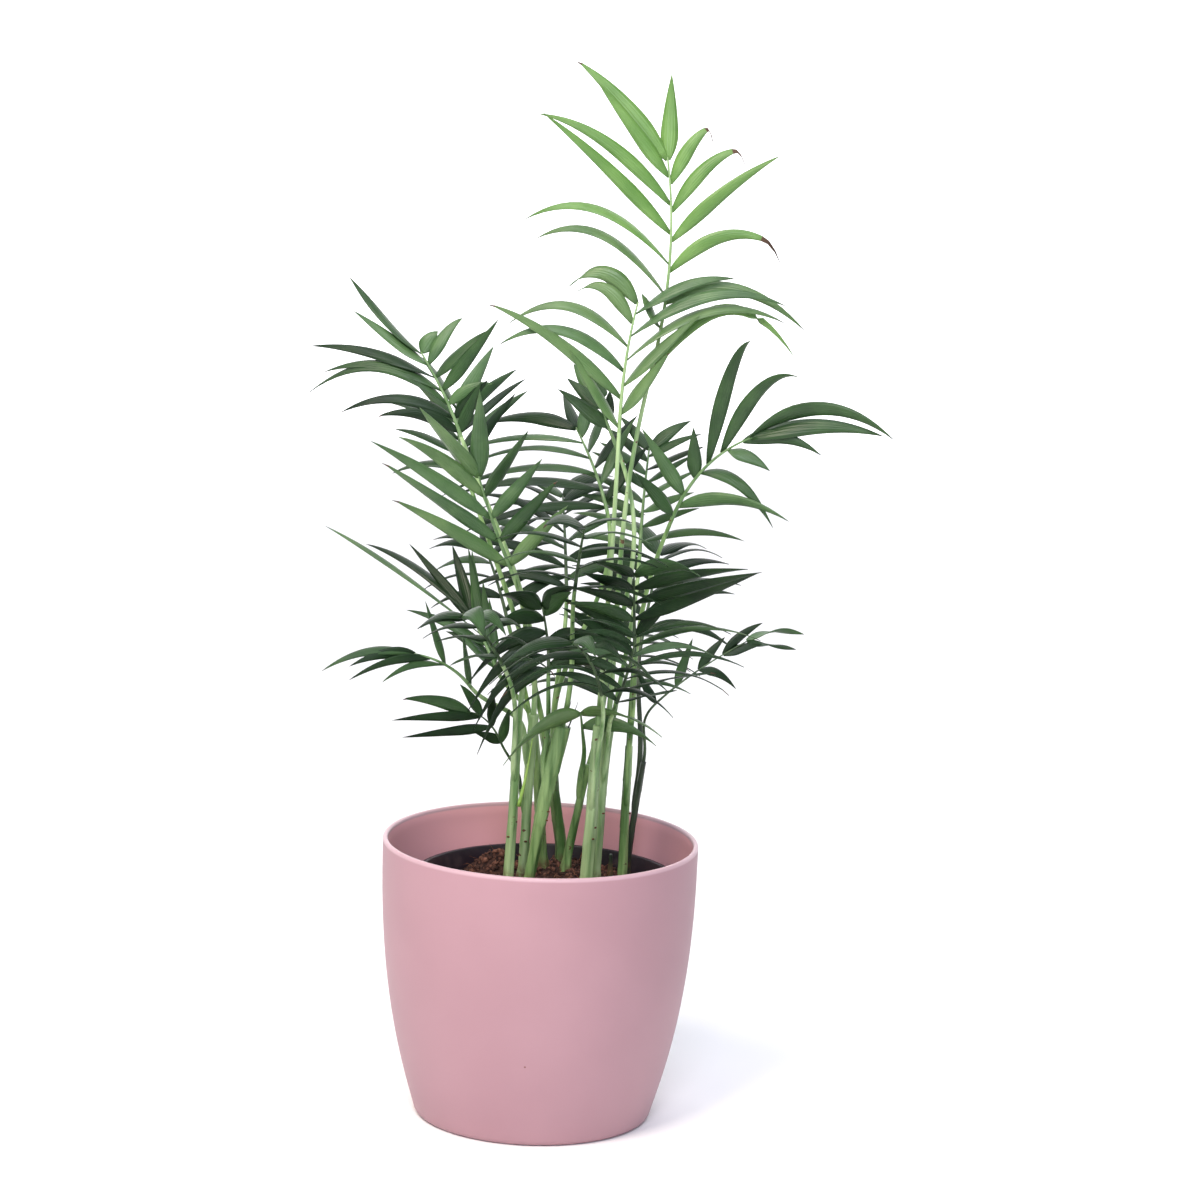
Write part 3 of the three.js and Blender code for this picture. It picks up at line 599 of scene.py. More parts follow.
STEM_FLARE_LENGTH = 6 * MM
STEM_SUNK = 6 * MM
STEM_SIDES = 20
STEM_STEPS = 64
STEM_CHORDS = 200
FRONT = Vector((0, -1, 0))
FURROWS = 5
FURROW_DEPTH = 0.09
FURROW_TWIST = 9
RING_SPACING = 27 * MM
RING_SWELL = 0.09
RING_SHARPNESS = 9
RING_SLANT = 0.12
RING_STAGGER = 0.37
RING_FADE = 4


class Stem:
    """A stem's path, its half-width at any share of the way up, and its skin."""

    def __init__(self, name, foot, tip, wide, kind):
        self.kind = kind
        start = Vector((foot[0] * MM, foot[1] * MM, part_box("stem_" + name)[0].z))
        end = Vector(tip) * MM
        rise = start.lerp(end, STEM_BEND)
        rise.z = (start.z + end.z) / 2
        self.path = [start, rise, end]
        self.wide = [width * MM for width in wide]
        points = [bezier(self.path, i / STEM_CHORDS) for i in range(STEM_CHORDS + 1)]
        self.length = sum((a - b).length for a, b in zip(points, points[1:]))
        self.phase = sum(map(ord, name))

    def half(self, t):
        """The half-width above the flare, without furrows and rings."""
        return (self.wide[0] + (self.wide[1] - self.wide[0]) * t) / 2

    def at(self, t, turn):
        """The furrowed and ringed surface. t runs from under the soil to the tip."""
        along = t * (self.length + STEM_SUNK) - STEM_SUNK
        share = max(0, along / self.length)
        centre = bezier(self.path, share) + UP * min(0, along)
        side, face = crossways(heading(self.path, share), FRONT)
        swell = 1 + (STEM_FLARE - 1) * max(0, 1 - max(0, along) / STEM_FLARE_LENGTH)
        furrows = FURROW_DEPTH * math.cos(FURROWS * turn + self.phase + FURROW_TWIST * share)
        slant = RING_SLANT * math.cos(turn + self.phase)
        from_ring = (along / RING_SPACING + slant + self.phase * RING_STAGGER) % 1
        ring = RING_SWELL * math.exp(-from_ring * RING_SHARPNESS) * min(1, share * RING_FADE)
        half = self.half(share) * swell * (1 + furrows + ring)
        return centre, side, face, half, half


stems = {name: Stem(name, *row) for name, row in STEMS.items()}
stem_shape = bmesh.new()
for stem in stems.values():
    join(stem_shape, limb(STEM_SIDES, STEM_STEPS, stem.at), stem.kind)

# A scar is a brown wart where a rootlet or a leaf came away. Each has its stem, its height in
# millimetres and its bearing from the front, in degrees.
SCARS = [
    ("c", 155.5, -55), ("c", 160.2, -50), ("g", 147.3, -30), ("g", 153, -55), ("h", 157.5, -38),
    ("i", 157, -65), ("i", 173.9, -15), ("d", 151.3, 20), ("a", 144, 35), ("b", 139, -10),
]
SCAR_RADIUS = 0.6 * MM
SCAR_SHAPE = Matrix.Diagonal((1.5, 1, 0.8, 1))
for name, height, bearing in SCARS:
    stem = stems[name]
    share = (height * MM - stem.path[0].z) / (stem.path[2].z - stem.path[0].z)
    turn = math.pi / 2 + math.radians(bearing)
    t = (share * stem.length + STEM_SUNK) / (stem.length + STEM_SUNK)
    centre, side, face, half, deep = stem.at(t, turn)
    place = centre + side * math.cos(turn) * half + face * math.sin(turn) * deep
    matrix = Matrix.Translation(place) @ SCAR_SHAPE
    wart = bmesh.new()
    bmesh.ops.create_icosphere(wart, subdivisions=2, radius=SCAR_RADIUS, matrix=matrix)
    join(stem_shape, wart, SCAR)

# The sheath at the top of one stem has torn open and ends in two dry threads, and a young sheath, bright
# as a new leaf, climbs between two others.
SHEATH_THREADS = [
    ((8, -5, 201), (11, -4, 209), (13, -4, 217)),
    ((11, -5, 201), (14, -4, 208), (16.5, -4, 217)),
]
THREAD_HALF = 0.5 * MM
for thread in SHEATH_THREADS:
    join(stem_shape, strand(in_metres(thread), THREAD_HALF), DARK)
YOUNG_SHEATH = in_metres(((-12, 2, 160), (-8, 2, 176), (-6, 2, 196)))
YOUNG_SHEATH_HALF = 1.1 * MM
join(stem_shape, strand(YOUNG_SHEATH, YOUNG_SHEATH_HALF, steps=12, sides=10), YOUNG)

# Splashed earth thins out between these heights. Specks of bark show where the noise passes a value:
# SPECKLED on the stems, and on young growth CLEAN, which it never passes.
EARTH_LINE = (120 * MM, 129 * MM)
SPECKLED = 0.69
CLEAN = 0.96


def stalk_skin(name, pale, green, specks_from=SPECKLED):
    """Smooth green skin with pale lengthwise streaks, specks of bark, and earth on the lowest part."""
    material, shader, start = finish(name, Specular_IOR_Level=0.4)
    streaks = start.grain(260, detail=4, stretch=(1, 1, 0.06)).between(0.32, 0.68)
    skin = streaks.mixed(tint(*pale), tint(*green))
    specks = start.grain(170, detail=2, stretch=(1, 1, 1.6)).between(specks_from, specks_from + 0.04)
    marked = specks.mixed(skin, tint(96, 72, 52))
    earth = (1 - start.height().between(*EARTH_LINE)) * start.grain(300, detail=4).between(0.3, 0.6)
    colour = earth.mixed(marked, tint(104, 86, 60))
    wire(shader, start, colour=colour, roughness=0.42 + 0.25 * specks, bump=streaks, depth=0.25 * MM)
    return material


stem_skins = [
    stalk_skin("pale_stalk", (172, 198, 144), (98, 136, 78)),
    stalk_skin("green_stalk", (144, 176, 112), (70, 108, 54)),
    stalk_skin("dark_stalk", (70, 84, 64), (44, 56, 44)),
    compost("scar_cork", (84, 60, 44), (122, 90, 64)),
    stalk_skin("young_sheath", (164, 200, 104), (134, 178, 78), CLEAN),
]
placed("stems", stem_shape, stem_skins, ["stem_" + name for name in STEMS])

# ---- Petioles and rachises ----
# A frond's stalk wraps its stem with a sheath, leaves it as a smooth round petiole and goes on between
# the leaflets as a thinner rachis. It is all one growth, grooved on the side that faces up.

# Each row has the frond's tone, from 0 for the youngest and brightest to 4, its stem and how far below the
# stem's tip it leaves, where its leaflets begin, its middle and its end, in millimetres, and the bearing
# and rise of the way it looks. Then come the steps from the first pair of leaflets to the last, their
# width, how far the right one of a pair is ahead of the left one and how much they stray. The last two
# lists are the left and the right leaflets' angle to the rachis, length, fall and how far the blade is
# turned edge on at its root, at places that are spaced evenly from the first pair to the last. A frond
# that is alike on both sides has one list. The darker tones are partly the deeper green of older fronds
# and partly painted shade.
FRONDS = {
    "crown": (
        0, "h", 0, (47, 0, 386), (54, 6, 440), (51, 16, 491), (0, 0), 7, 8, -0.25, 0,
        ((30, 0, 0, 0), (40, 20, 0, 80), (42, 113, 1, 70), (44, 112, 0.9, 70), (44, 96, 0.17, 15),
         (38, 104, 0.53, 20), (32, 60, 0.05, 30), (28, 80, 0.35, 0)),
        ((19, 139, 1.56, 20), (40, 0, 0, 0), (52, 84, 0.8, 30), (39, 84, 0.9, 0), (42, 80, 0.3, 0),
         (33, 73, 0.88, 20), (28, 56, 1.1, 20), (9, 43, 0, 0)),
    ),
    "second": (
        1, "g", 0, (32, -14, 359), (34, -8, 391), (39, 0, 420), (0, 0), 5, 8, 0.45, 0,
        ((36, 46, 0, 60), (49, 97, 0.35, 10), (50, 92, 0.9, 30), (51, 90, 0.98, 55), (40, 58, 1.3, 0),
         (48, 62, 1.3, 0)),
        ((35, 40, 0, 50), (38, 56, 0.15, 60), (38, 113, 0.78, 75), (42, 103, 0.66, 70), (41, 64, 0.45, 70),
         (41, 80, 0.52, 70)),
    ),
    "right_high": (
        3, "i", 0, (61, -2, 314), (76, -8, 340), (98, -12, 356), (0, 0), 6, 8.5, 0.4, 0,
        ((58, 33, 0.1, 55), (58, 43, 0, 10), (38, 28, 0, 0), (34, 129, 1.5, 0), (30, 104, 1.2, 0),
         (24, 104, 0.9, 40), (18, 96, 0.82, 60)),
        ((41, 63, 0.48, 10), (40, 0, 0, 0), (34, 40, 0.95, 70), (40, 0, 0, 0), (42, 22, 0.3, 75),
         (4, 43, 0.55, 10), (1, 72, 0.35, 60)),
    ),
    "left_high": (
        3, "b", 0, (-48, 10, 350), (-57, 14, 369), (-69, 22, 388), (0, 15), 6, 7.5, 0, 0,
        ((36, 50, 0.5, 0), (36, 67, 0.6, 40), (21, 97, 0.9, 50), (29, 72, 0.55, 60), (35, 71, 0.28, 75),
         (25, 47, 0, 50), (19, 49, -0.2, 70)),
        ((43, 28, 0, 0), (60, 28, 0.2, 0), (74, 31, 0.46, 0), (67, 45, -0.05, 0), (71, 40, 0.26, 20),
         (55, 43, 0.92, 0), (58, 19, 0.77, 0)),
    ),
    "left_front": (
        2, "a", 0, (-20, -24, 289), (-29, -32, 313), (-36, -44, 337), (0, -10), 4, 8.5, 0, 0,
        ((31, 74, 0.1, 10), (32, 76, 0, 20), (29, 84, 0.12, 30), (22, 72, 0.28, 15), (20, 55, 0, 0)),
        ((57, 50, 0.1, 0), (55, 48, 0, 0), (49, 46, 0, 0), (40, 49, 0, 0), (12, 56, 0, 0)),
    ),
    "second_left": (
        3, "e", 0, (-45, 26, 328), (-49, 38, 341), (-51, 56, 355), (20, 20), 4, 7.5, 0.35, 1.5,
        ((60, 42, 0.4, 10), (55, 44, 0.35, 20), (30, 46, 0.3, 10)),
        ((44, 58, 0.2, 10), (39, 60, 0.15, 20), (24, 54, 0.1, 10)),
    ),
    "middle_back": (
        3, "e", 12, (27, 36, 310), (20, 48, 328), (10, 70, 345), (0, 30), 5, 7, 0.35, 1.5,
        ((66, 70, 0.45, 10), (58, 80, 0.45, 20), (40, 60, 0.4, 10)),
        ((50, 40, 0.3, 10), (45, 44, 0.25, 20), (10, 34, 0.2, 10)),
    ),
    "middle_high": (
        3, "g", 14, (31, 6, 346), (25, 12, 359), (19, 24, 372), (0, 10), 3, 8.5, 0.35, 1,
        ((40, 0, 0.1, 10), (30, 34, 0.1, 20), (22, 27, 0.1, 10), (12, 22, 0.1, 10)),
        ((40, 0, 0.2, 10), (30, 16, 0.2, 20), (20, 16, 0.2, 20), (8, 18, 0.2, 10)),
    ),
    "right_mid": (
        4, "i", 16, (44, -12, 244), (43, -16, 265), (42, -32, 288), (0, 0), 5, 8, 0.1, 0.3,
        ((50, 50, 0.2, 10), (50, 50, 0.2, 20), (52, 45, 0.2, 20), (52, 42, 0.1, 20), (55, 32, 0, 10),
         (42, 30, 0.1, 0)),
        ((50, 0, 0.3, 20), (36, 45, 0.1, 40), (60, 72, 0, 40), (60, 74, 0.05, 0), (57, 68, 0.12, 45),
         (36, 58, 0.45, 20)),
    ),
    "right_low": (
        4, "h", 16, (36, -20, 221), (41, -34, 241), (44, -58, 263), (180, 40), 6, 7, 0.1, 0.3,
        ((64, 31, 0.1, 60), (62, 50, 0.14, 60), (56, 58, 0.6, 50), (48, 69, 0.5, 40), (40, 58, 0.55, 10),
         (45, 80, 0.45, 70), (42, 66, 0.5, 60)),
        ((60, 50, 0.6, 10), (55, 54, 0.6, 20), (45, 48, 0.5, 10)),
    ),
    "right_dark": (
        4, "j", 0, (56, 12, 214), (76, 18, 230), (102, 24, 246), (10, 20), 4, 6, 0, 0.3,
        ((80, 20, 0, 10), (33, 26, 0, 0), (24, 25, 0.3, 0), (19, 32, 0.42, 40), (-1, 34, 0.4, 140)),
        ((20, 0, 0, 0), (10, 0, 0, 0), (24, 20, 0.7, 60), (5, 24, 0.2, 40), (34, 25, 0.1, 140)),
    ),
    "ladder": (
        3, "h", 30, (45, 28, 291), (46, 40, 315), (48, 56, 338), (-20, 20), 7, 6, 0.35, 1,
        ((62, 40, 0.3, 10), (53, 42, 0.25, 20), (40, 30, 0.2, 10)),
        ((76, 66, 0.42, 50), (70, 34, 0.12, 30), (68, 32, 0.1, 20), (66, 32, 0.1, 30), (66, 32, 0.1, 20),
         (64, 32, 0.1, 20), (60, 32, 0.2, 10), (45, 30, 0.3, 0)),
    ),
    "left_low": (
        3, "b", 14, (-38, -10, 224), (-50, -18, 236), (-66, -26, 243), (10, 30), 4, 5.2, 0, 0,
        ((25, 0, 0, 0), (20, 0, 0.45, 20), (12, 40, 0.5, 70), (12, 48, 0.35, 0), (-8, 51, 0.5, 40)),
        ((27, 31, 0.2, 0), (38, 0, 0, 0), (43, 35, 0.1, 0), (50, 0, 0, 0), (-2, 36, 0.34, 40)),
    ),
    "left_mid": (
        3, "d", 0, (-26, 22, 227), (-33, 28, 240), (-41, 36, 253), (0, 20), 5, 6.5, 0.35, 0.3,
        ((20, 30, 0.2, 60), (25, 30, 0.3, 40), (30, 49, 0.26, 40), (24, 106, 0.15, 80), (10, 58, 0.1, 0),
         (15, 80, 0.35, 40)),
        ((20, 36, 0.2, 10), (20, 40, 0.2, 20), (16, 50, 0, 10), (20, 44, 0.1, 20), (10, 0, 0, 0),
         (14, 40, 0.1, 30)),
    ),
    "left_hang": (
        4, "a", 16, (-22, -24, 239), (-32, -44, 259), (-41, -66, 272), (180, 55), 4, 9, 0.35, 1,
        ((60, 40, 0.7, 60), (50, 44, 0.7, 60), (35, 38, 0.7, 40)),
        ((60, 26, 0.5, 60), (50, 28, 0.5, 60), (35, 26, 0.5, 40)),
    ),
    "left_foot": (
        4, "b", 40, (-22, 6, 192), (-29, 0, 204), (-38, -6, 210), (0, 10), 3, 6, 0, 0.3,
        ((30, 18, 0.2, 20), (51, 50, 0, 50), (24, 53, 0.08, 0), (-12, 43, 0.25, 0)),
        ((30, 24, 0.2, 10), (30, 26, 0.2, 20), (24, 30, 0.3, 10), (10, 0, 0.3, 10)),
    ),
    "middle_left": (
        4, "c", 18, (1, -4, 232), (0, -10, 249), (-3, -20, 268), (0, 10), 5, 9, 0.35, 1,
        ((85, 36, 1.2, 40), (66, 40, 0.8, 50), (35, 34, 0.4, 30)),
        ((66, 34, 0.5, 30), (58, 40, 0.5, 40), (35, 34, 0.4, 30)),
    ),
    "middle_front": (
        4, "c", 0, (13, -34, 281), (15, -52, 302), (17, -78, 320), (180, 45), 4, 9, 0.35, 1,
        ((70, 44, 0.5, 50), (57, 48, 0.5, 55), (35, 40, 0.4, 40)),
        ((70, 46, 0.5, 50), (57, 50, 0.5, 55), (35, 40, 0.4, 40)),
    ),
    "middle_low": (
        4, "g", 30, (28, -30, 227), (22, -50, 247), (13, -80, 263), (180, 45), 4, 9, 0.35, 1,
        ((65, 46, 0.7, 50), (52, 50, 0.7, 55), (35, 40, 0.6, 40)),
        ((65, 50, 0.7, 50), (52, 52, 0.7, 55), (35, 42, 0.6, 40)),
    ),
    "front_low": (
        2, "f", 4, (20, 8, 193), (19, 2, 202), (18, -6, 211), (0, 10), 2, 9.5, 0, 0,
        ((75, 0, 0, 0), (55, 27, 0.7, 20), (66, 42, 0.6, 30)),
        ((75, 0, 0, 0), (60, 42, 0.55, 40), (66, 58, 0.36, 30)),
    ),
    "back_left": (
        4, "d", 12, (-22, 56, 246), (-30, 78, 266), (-38, 104, 278), (0, 45), 5, 7.5, 0.35, 1.5,
        ((60, 38, 0.5, 10), (50, 40, 0.5, 20), (30, 36, 0.4, 10)),
        ((60, 58, 0.5, 10), (50, 62, 0.5, 20), (30, 50, 0.4, 10)),
    ),
    "back_middle": (
        4, "e", 26, (8, 66, 262), (6, 86, 286), (4, 112, 302), (0, 45), 6, 7.5, 0.35, 1.5,
        ((60, 60, 0.5, 10), (50, 64, 0.5, 20), (30, 52, 0.4, 10)),
    ),
    "back_right": (
        4, "j", 14, (48, 50, 240), (52, 70, 260), (56, 96, 276), (0, 45), 5, 7.5, 0.35, 1.5,
        ((60, 52, 0.5, 10), (50, 56, 0.5, 20), (30, 46, 0.4, 10)),
    ),
    "back_low": (
        4, "f", 10, (30, 58, 206), (34, 80, 222), (40, 108, 230), (0, 60), 5, 7, 0.35, 1.5,
        ((60, 52, 0.5, 10), (50, 54, 0.5, 20), (30, 44, 0.4, 10)),
    ),
}
# The solid stalk's half-width at its foot, and the gap between it and its stem.
SOLID_RIB_FOOT = 1.6 * MM
STALK_GAP = 0.3 * MM
RIB_REACH = 0.4
RIB_HALVES = (1.45 * MM, 1 * MM, 0.45 * MM)
RIB_SIDES = 12
PETIOLE_SHARE = 0.5
RIB_STEPS = 56
SHEATH_LENGTH = 16 * MM
SHEATH_HALF = 1.9 * MM
SHEATH_SHARE = 0.12
SHEATH_INSET = 0.8
SHEATH_BULGE = 0.6
SHEATH_CLOSING = 0.45
GROOVE_DEPTH = 0.22
GROOVE_SHARPNESS = 6
# Two thin petioles are as dark as their fronds, so their darkness is partly painted shade too.
DARK_PETIOLES = ("left_foot", "right_dark")
DARK_SLIMNESS = 0.62
# The skins of a rachis, and which of them goes with each tone, so that the darker ones are partly painted
# shade as well. The stems' greens come after them.
rachis_skins = [
    stalk_skin("bright_rib", (146, 174, 120), (122, 156, 98), CLEAN),
    stalk_skin("green_rib", (116, 146, 98), (86, 120, 70), CLEAN),
    stalk_skin("dark_rib", (78, 100, 66), (48, 68, 44), CLEAN),
]
RACHIS_OF_TONE = (0, 0, 1, 1, 2)


class Rib:
    """A frond's stalk: the petiole that leaves its stem, and the rachis that arches on from it."""

    def __init__(self, name, tone, stem, drop, neck, mid, tip, bearing, rise):
        self.tone = tone
        self.dark = name in DARK_PETIOLES
        self.stem = stems[stem]
        along = 1 - drop * MM / self.stem.length
        up = heading(self.stem.path, along)
        foot = bezier(self.stem.path, along)
        neck, mid, tip = in_metres((neck, mid, tip))
        self.inward = Vector()
        if drop > 0:
            out = neck - foot
            out = (out - up * out.dot(up)).normalized()
            away = self.stem.half(along) + SOLID_RIB_FOOT + STALK_GAP
            foot += out * away
            self.inward = -out * away * SHEATH_INSET
        else:
            foot += up * STALK_GAP
        bend = mid * 2 - (neck + tip) / 2
        reach = (neck - foot).length * RIB_REACH
        self.petiole = [foot, foot + up * reach, neck - (bend - neck).normalized() * reach, neck]
        self.rachis = [neck, bend, tip]
        self.up = up
        turn, rise = math.radians(bearing), math.radians(rise)
        level = math.cos(rise)
        self.look = Vector((math.sin(turn) * level, -math.cos(turn) * level, math.sin(rise)))

    def at(self, t, turn):
        """The stalk's surface. Its lowest part is a sheath that runs down into the stem."""
        slimness = DARK_SLIMNESS if self.dark else 1
        foot_half, neck_half, tip_half = [half * slimness for half in RIB_HALVES]
        if t < SHEATH_SHARE:
            left = 1 - t / SHEATH_SHARE
            centre = self.petiole[0] - self.up * SHEATH_LENGTH * left + self.inward * left
            side, face = crossways(self.up, self.look)
            bulge = math.sin(math.pi * left * SHEATH_BULGE)
            half = foot_half + (SHEATH_HALF * slimness - foot_half) * bulge
            half *= 1 - SHEATH_CLOSING * left**4
            return centre, side, face, half, half
        t = (t - SHEATH_SHARE) / (1 - SHEATH_SHARE)
        low = t <= PETIOLE_SHARE
        path = self.petiole if low else self.rachis
        place = t / PETIOLE_SHARE if low else (t - PETIOLE_SHARE) / (1 - PETIOLE_SHARE)
        start_half, end_half = (foot_half, neck_half) if low else (neck_half, tip_half)
        half = start_half + (end_half - start_half) * place
        side, face = crossways(heading(path, place), self.look)
        half *= 1 - GROOVE_DEPTH * max(0, math.sin(turn)) ** GROOVE_SHARPNESS
        return bezier(path, place), side, face, half, half

    def kind_at(self, t):
        """A sheath and most petioles have their stem's green. A rachis is as dark as its leaflets."""
        rachis_from = SHEATH_SHARE + (1 - SHEATH_SHARE) * PETIOLE_SHARE
        if t > rachis_from or (t > SHEATH_SHARE and self.dark):
            return RACHIS_OF_TONE[self.tone]
        return len(rachis_skins) + self.stem.kind


ribs = {name: Rib(name, *row[:6], *row[6]) for name, row in FRONDS.items()}
rib_shape = bmesh.new()
for rib in ribs.values():
    join(rib_shape, limb(RIB_SIDES, RIB_STEPS, rib.at, rib.kind_at))
placed("frond_stalks", rib_shape, rachis_skins + stem_skins[:SCAR])

# ---- Leaflets ----
# Every leaflet is a thin satin blade, narrow at its root, broadest at a third and drawn out to a tip.
# It folds a little along its midrib, arches and twists under its own weight, and is paler underneath.
# The tips of some have dried brown. They sit along the rachis in pairs, with the last pair broadest.
LEAF_ROOT = 0.2
LEAF_BROADEST = 0.35
LEAF_TAPER = 1.9
LEAF_LIFT = 12
LEAF_LAST_PLACE = 0.985
LEAF_END_WIDTH = 1.25
SOLID_RIB_TIP = 0.55 * MM
LEAF_GATHER = 0.1
LEAF_VARIED = {"opening": 4, "lift": 6, "length": 0.05, "width": 0.08, "sag": 0.2, "turn": 20}
# What a leaflet may have taken where its own place was full: a swing away from the rachis and a lift,
# in degrees.
LEAF_SHIFTS = [
    (0, 0), (0, 8), (0, -8), (6, 0), (-6, 0), (8, 8), (-8, 8), (8, -8), (-8, -8),
    (0, 16), (0, -16), (14, 0), (-14, 0), (14, 12), (-14, 12),
]
LEAF_ACROSS = 4
LEAF_ALONG = 16
LEAF_THICK = 0.35 * MM
LEAF_FOLD = 0.22
LEAF_FOLD_CURVE = 1.5
LEAF_TWIST = 22
LEAF_VEINS = 40
TIP_MATCH = 0.3 * MM
LCG_FACTOR = 16807
LCG_SIZE = 2147483647
lcg_state = 20240


def vary(amount):
    """The same run of numbers each time, spread evenly between -amount and amount."""
    global lcg_state
    lcg_state = lcg_state * LCG_FACTOR % LCG_SIZE
    return (lcg_state / LCG_SIZE * 2 - 1) * amount


def leaf_outline(t):
    """A leaflet's width at a share of its length, as a share of its greatest width."""
    opening = min(1, t / LEAF_BROADEST)
    widening = LEAF_ROOT + (1 - LEAF_ROOT) * (1 - (1 - opening) ** 2)
    return widening * (1 - t**LEAF_TAPER)


def side_at(places, share):
    """Angle, length, fall and turn on one side, at a share of the way from first pair to last."""
    at = share * (len(places) - 1)
    below = min(math.floor(at), len(places) - 2)
    return [a + (b - a) * (at - below) for a, b in zip(places[below], places[below + 1])]


def leaflets_of(row):
    """The sizes of a frond's leaflets, pair by pair. Those of no length are left out."""
    pairs, wide, lead, loose, *sides = row[7:]
    leaflets = []
    for i in range(pairs + 1):
        last = i == pairs
        for hand in (-1, 1):
            angle, length, sag, turn = side_at(sides[0 if hand < 0 else -1], i / pairs)
            share = (i + (0 if last else max(0, hand * lead))) / pairs
            stray = {name: vary(amount * loose) for name, amount in LEAF_VARIED.items()}
            leaflet = {
                "place": min(share * (1 + LEAF_GATHER * (1 - share)), LEAF_LAST_PLACE),
                "hand": hand,
                "pair": i,
                "opening": angle + stray["opening"],
                "lift": LEAF_LIFT + stray["lift"],
                "length": length * (1 + stray["length"]) * MM,
                "width": wide * (LEAF_END_WIDTH if last else 1) * (1 + stray["width"]) * MM,
                "sag": sag * (1 + stray["sag"]),
                "turn": turn + stray["turn"],
            }
            if length > 0:
                leaflets.append(leaflet)
    return leaflets


def rolled(side, up, roll):
    """Two directions square to each other, turned in their own plane."""
    return side * math.cos(roll) + up * math.sin(roll), up * math.cos(roll) - side * math.sin(roll)


class Leaflet:
    """A leaflet's path: it heads off straight and falls away as a thrown stone does."""

    def __init__(self, rib, sizes, shift):
        self.hand = sizes["hand"]
        self.pair = sizes["pair"]
        self.length = sizes["length"]
        self.width = sizes["width"]
        tangent = heading(rib.rachis, sizes["place"])
        side, self.face = crossways(tangent, rib.look)
        opening = math.radians(sizes["opening"] + shift[0])
        lift = math.radians(sizes["lift"] + shift[1])
        out = side * self.hand * math.cos(lift) + self.face * math.sin(lift)
        self.heading = (tangent * math.cos(opening) + out * math.sin(opening)).normalized()
        self.root = bezier(rib.rachis, sizes["place"]) + side * self.hand * SOLID_RIB_TIP / 2
        self.fall = sizes["sag"] * math.hypot(self.heading.x, self.heading.y)
        self.broad = self.heading.cross(self.face).normalized()
        self.turn = math.radians(sizes["turn"]) * self.hand

    def centre(self, t):
        """The point of the midrib at a share of the length."""
        return self.root + (self.heading * t - UP * self.fall * t * t) * self.length

    def across(self, t):
        """The directions across the blade and out of its upper side there."""
        tangent = (self.heading - UP * 2 * self.fall * t).normalized()
        side = (self.broad - tangent * self.broad.dot(tangent)).normalized()
        up = side.cross(tangent).normalized()
        return rolled(side, up, self.turn * (1 - t))


def matched(rib, sizes, corners):
    """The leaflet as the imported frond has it, found by its tip, or None where it was left out."""
    for shift in LEAF_SHIFTS:
        leaflet = Leaflet(rib, sizes, shift)
        if corners.find(leaflet.centre(1))[2] < TIP_MATCH:
            return leaflet
    return None


def corners_of(node):
    """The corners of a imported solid, to look up by place."""
    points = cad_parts[node].data.vertices
    tree = KDTree(len(points))
    for i, point in enumerate(points):
        tree.insert(point.co, i)
    tree.balance()
    return tree


def leaf_skin(name, colour, other, sheen):
    """A leaf's satin skin of two close greens, with fine veins along it."""
    material, shader, start = finish(name, Roughness=0.36, Specular_IOR_Level=sheen)
    place = start.node("UVMap", {}, {})
    across = start.node("SeparateXYZ", {}, {0: place}, output="X")
    veins = start.node("Math", {"operation": "SINE"}, {0: across * LEAF_VEINS})
    greens = start.grain(55).between(0.3, 0.7).mixed(tint(*colour), tint(*other))
    wire(shader, start, colour=greens, bump=veins, depth=0.04 * MM)
    return material


# The two greens of the upper side and the one of the underside of each tone, youngest first. The darker
# tones are partly the deeper green of older fronds and partly painted shade.
LEAF_COLOURS = [
    ((106, 145, 73), (87, 128, 58), (115, 152, 88)),
    ((98, 128, 76), (76, 108, 60), (118, 146, 104)),
    ((84, 116, 70), (62, 94, 54), (112, 140, 106)),
    ((58, 88, 48), (43, 70, 38), (88, 116, 84)),
    ((32, 56, 27), (21, 42, 21), (54, 80, 53)),
]
# The young leaves are the glossiest.
LEAF_SHEENS = (0.5, 0.5, 0.42, 0.32, 0.28)
UNDER_SHEEN = 0.25
UNDER_SHADE = 0.92
DRY_SHEEN = 0.2
leaf_skins = []
for tone, (colour, other, under) in enumerate(LEAF_COLOURS):
    darker = [value * UNDER_SHADE for value in under]
    leaf_skins.append(leaf_skin(f"leaf_upper_{tone}", colour, other, LEAF_SHEENS[tone]))
    leaf_skins.append(leaf_skin(f"leaf_under_{tone}", under, darker, UNDER_SHEEN))
DRY = len(leaf_skins)
leaf_skins += [
    leaf_skin("dry_tip_upper", (98, 74, 56), (70, 54, 44), DRY_SHEEN),
    leaf_skin("dry_tip_under", (112, 88, 68), (84, 66, 54), DRY_SHEEN),
]

# The crown's right leaflets, counted from the first pair, that have long dry tips. A few others have a
# short one.
DRY_RIGHT = {"crown": (3, 5, 6)}
DRY_LONG = 0.83
DRY_SHORT = 0.95
DRY_CURL = 8 * MM
DRY_CHANCE = 0.1


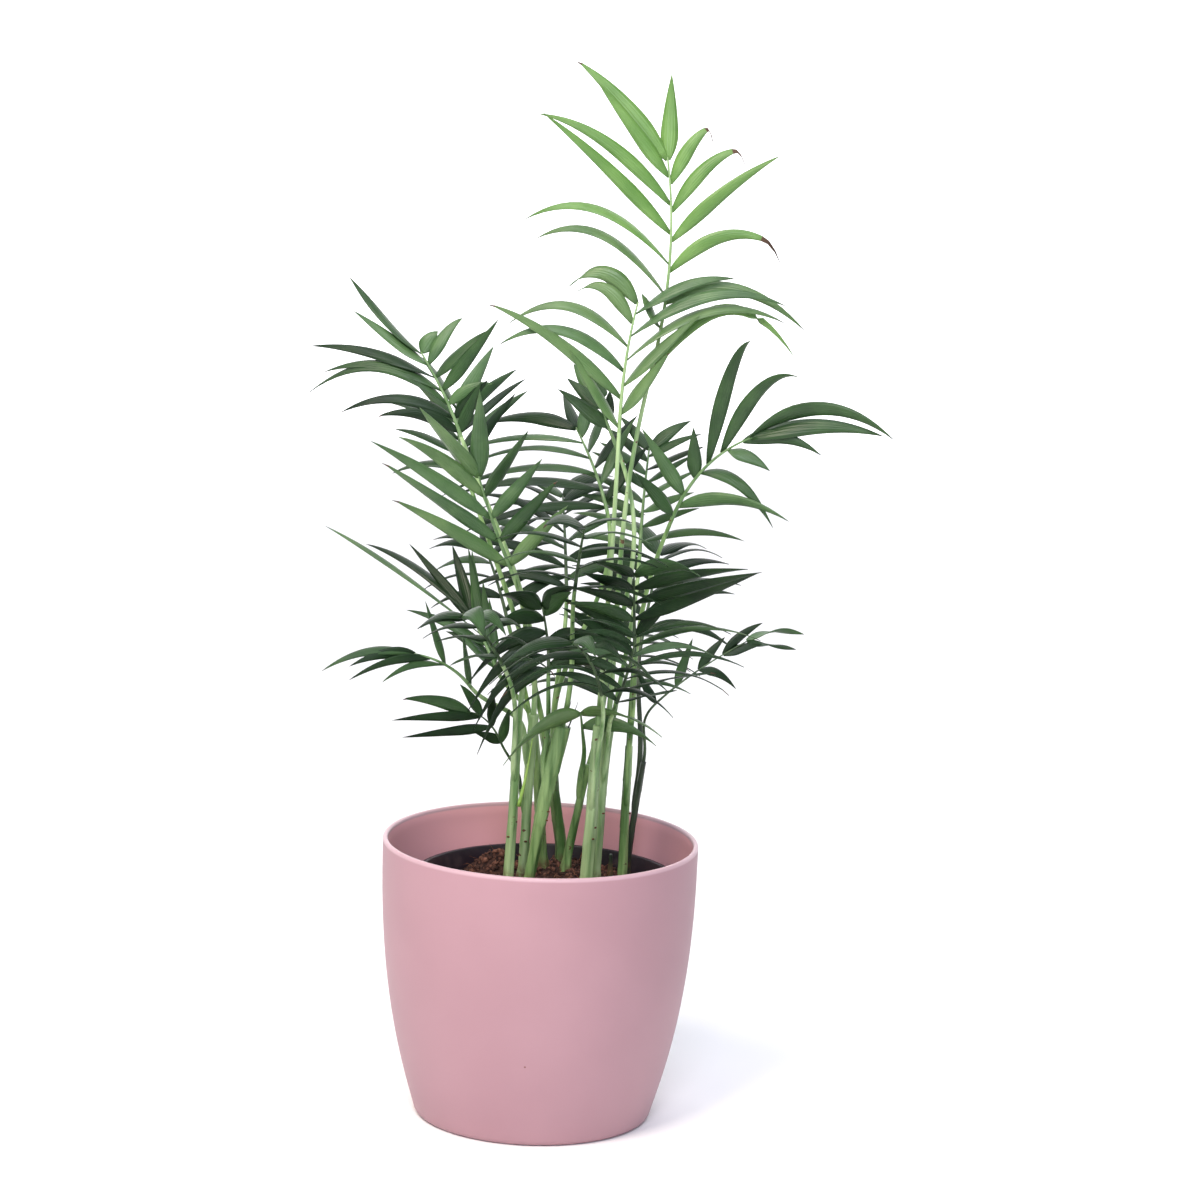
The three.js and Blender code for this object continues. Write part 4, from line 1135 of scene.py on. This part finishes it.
def blade(leaflet, twist, kind, dry_from):
    """A flat grid laid along a leaflet's path. What lies past dry_from has dried and curls down."""
    shape = bmesh.new()
    shape.loops.layers.uv.verify()
    bmesh.ops.create_grid(shape, x_segments=LEAF_ACROSS, y_segments=LEAF_ALONG, size=1, calc_uvs=True)
    for face in shape.faces:
        face.material_index = DRY if (face.calc_center_median().y + 1) / 2 > dry_from else kind
    for point in shape.verts:
        column, t = point.co.x, (point.co.y + 1) / 2
        side, up = rolled(*leaflet.across(t), twist * math.sin(math.pi * t))
        half = leaflet.width / 2 * leaf_outline(t)
        fold = -LEAF_FOLD * half * abs(column) ** LEAF_FOLD_CURVE
        curl = DRY_CURL * (max(0, t - dry_from) / (1 - DRY_LONG)) ** 2
        point.co = leaflet.centre(t) + side * column * half + up * fold - UP * curl
    bmesh.ops.remove_doubles(shape, verts=shape.verts, dist=WELD)
    return shape


# The fronds of each piece.
LEAF_PIECES = {
    "crown_leaflets": ["crown"],
    "second_leaflets": ["second"],
    "upper_left_leaflets": ["left_high", "left_front", "second_left"],
    "upper_right_leaflets": ["right_high", "middle_back", "middle_high", "ladder"],
    "lower_left_leaflets": ["left_low", "left_mid", "left_hang", "left_foot"],
    "middle_leaflets": ["middle_left", "middle_front", "middle_low", "front_low"],
    "lower_right_leaflets": ["right_mid", "right_low", "right_dark"],
    "back_leaflets": ["back_left", "back_middle", "back_right", "back_low"],
}
leaflets_by_frond = {}
for name, row in FRONDS.items():
    corners = corners_of("frond_" + name)
    found = [matched(ribs[name], sizes, corners) for sizes in leaflets_of(row)]
    leaflets_by_frond[name] = [leaflet for leaflet in found if leaflet]

# The tones dealt out among the leaflets of a frond of each tone.
SPRAY = ((0, 0, 0, 0, 1), (1, 1, 1, 2), (1, 2, 2, 3), (2, 3, 3, 4), (3, 4, 4, 4))
leaf_rolls = random.Random(33)
for piece_name, names in LEAF_PIECES.items():
    shape = bmesh.new()
    for name in names:
        for leaflet in leaflets_by_frond[name]:
            twist = math.radians(leaf_rolls.uniform(-LEAF_TWIST, LEAF_TWIST))
            tone = leaf_rolls.choice(SPRAY[ribs[name].tone])
            dry_from = DRY_SHORT if leaf_rolls.random() < DRY_CHANCE else 1
            if leaflet.hand > 0 and leaflet.pair in DRY_RIGHT.get(name, ()):
                dry_from = DRY_LONG
            join(shape, blade(leaflet, twist, 2 * tone, dry_from))
    piece = placed(piece_name, shape, leaf_skins, ["frond_" + name for name in names])
    thickness = piece.modifiers.new("thickness", "SOLIDIFY")
    thickness.thickness = LEAF_THICK
    thickness.offset = 0
    thickness.material_offset = 1
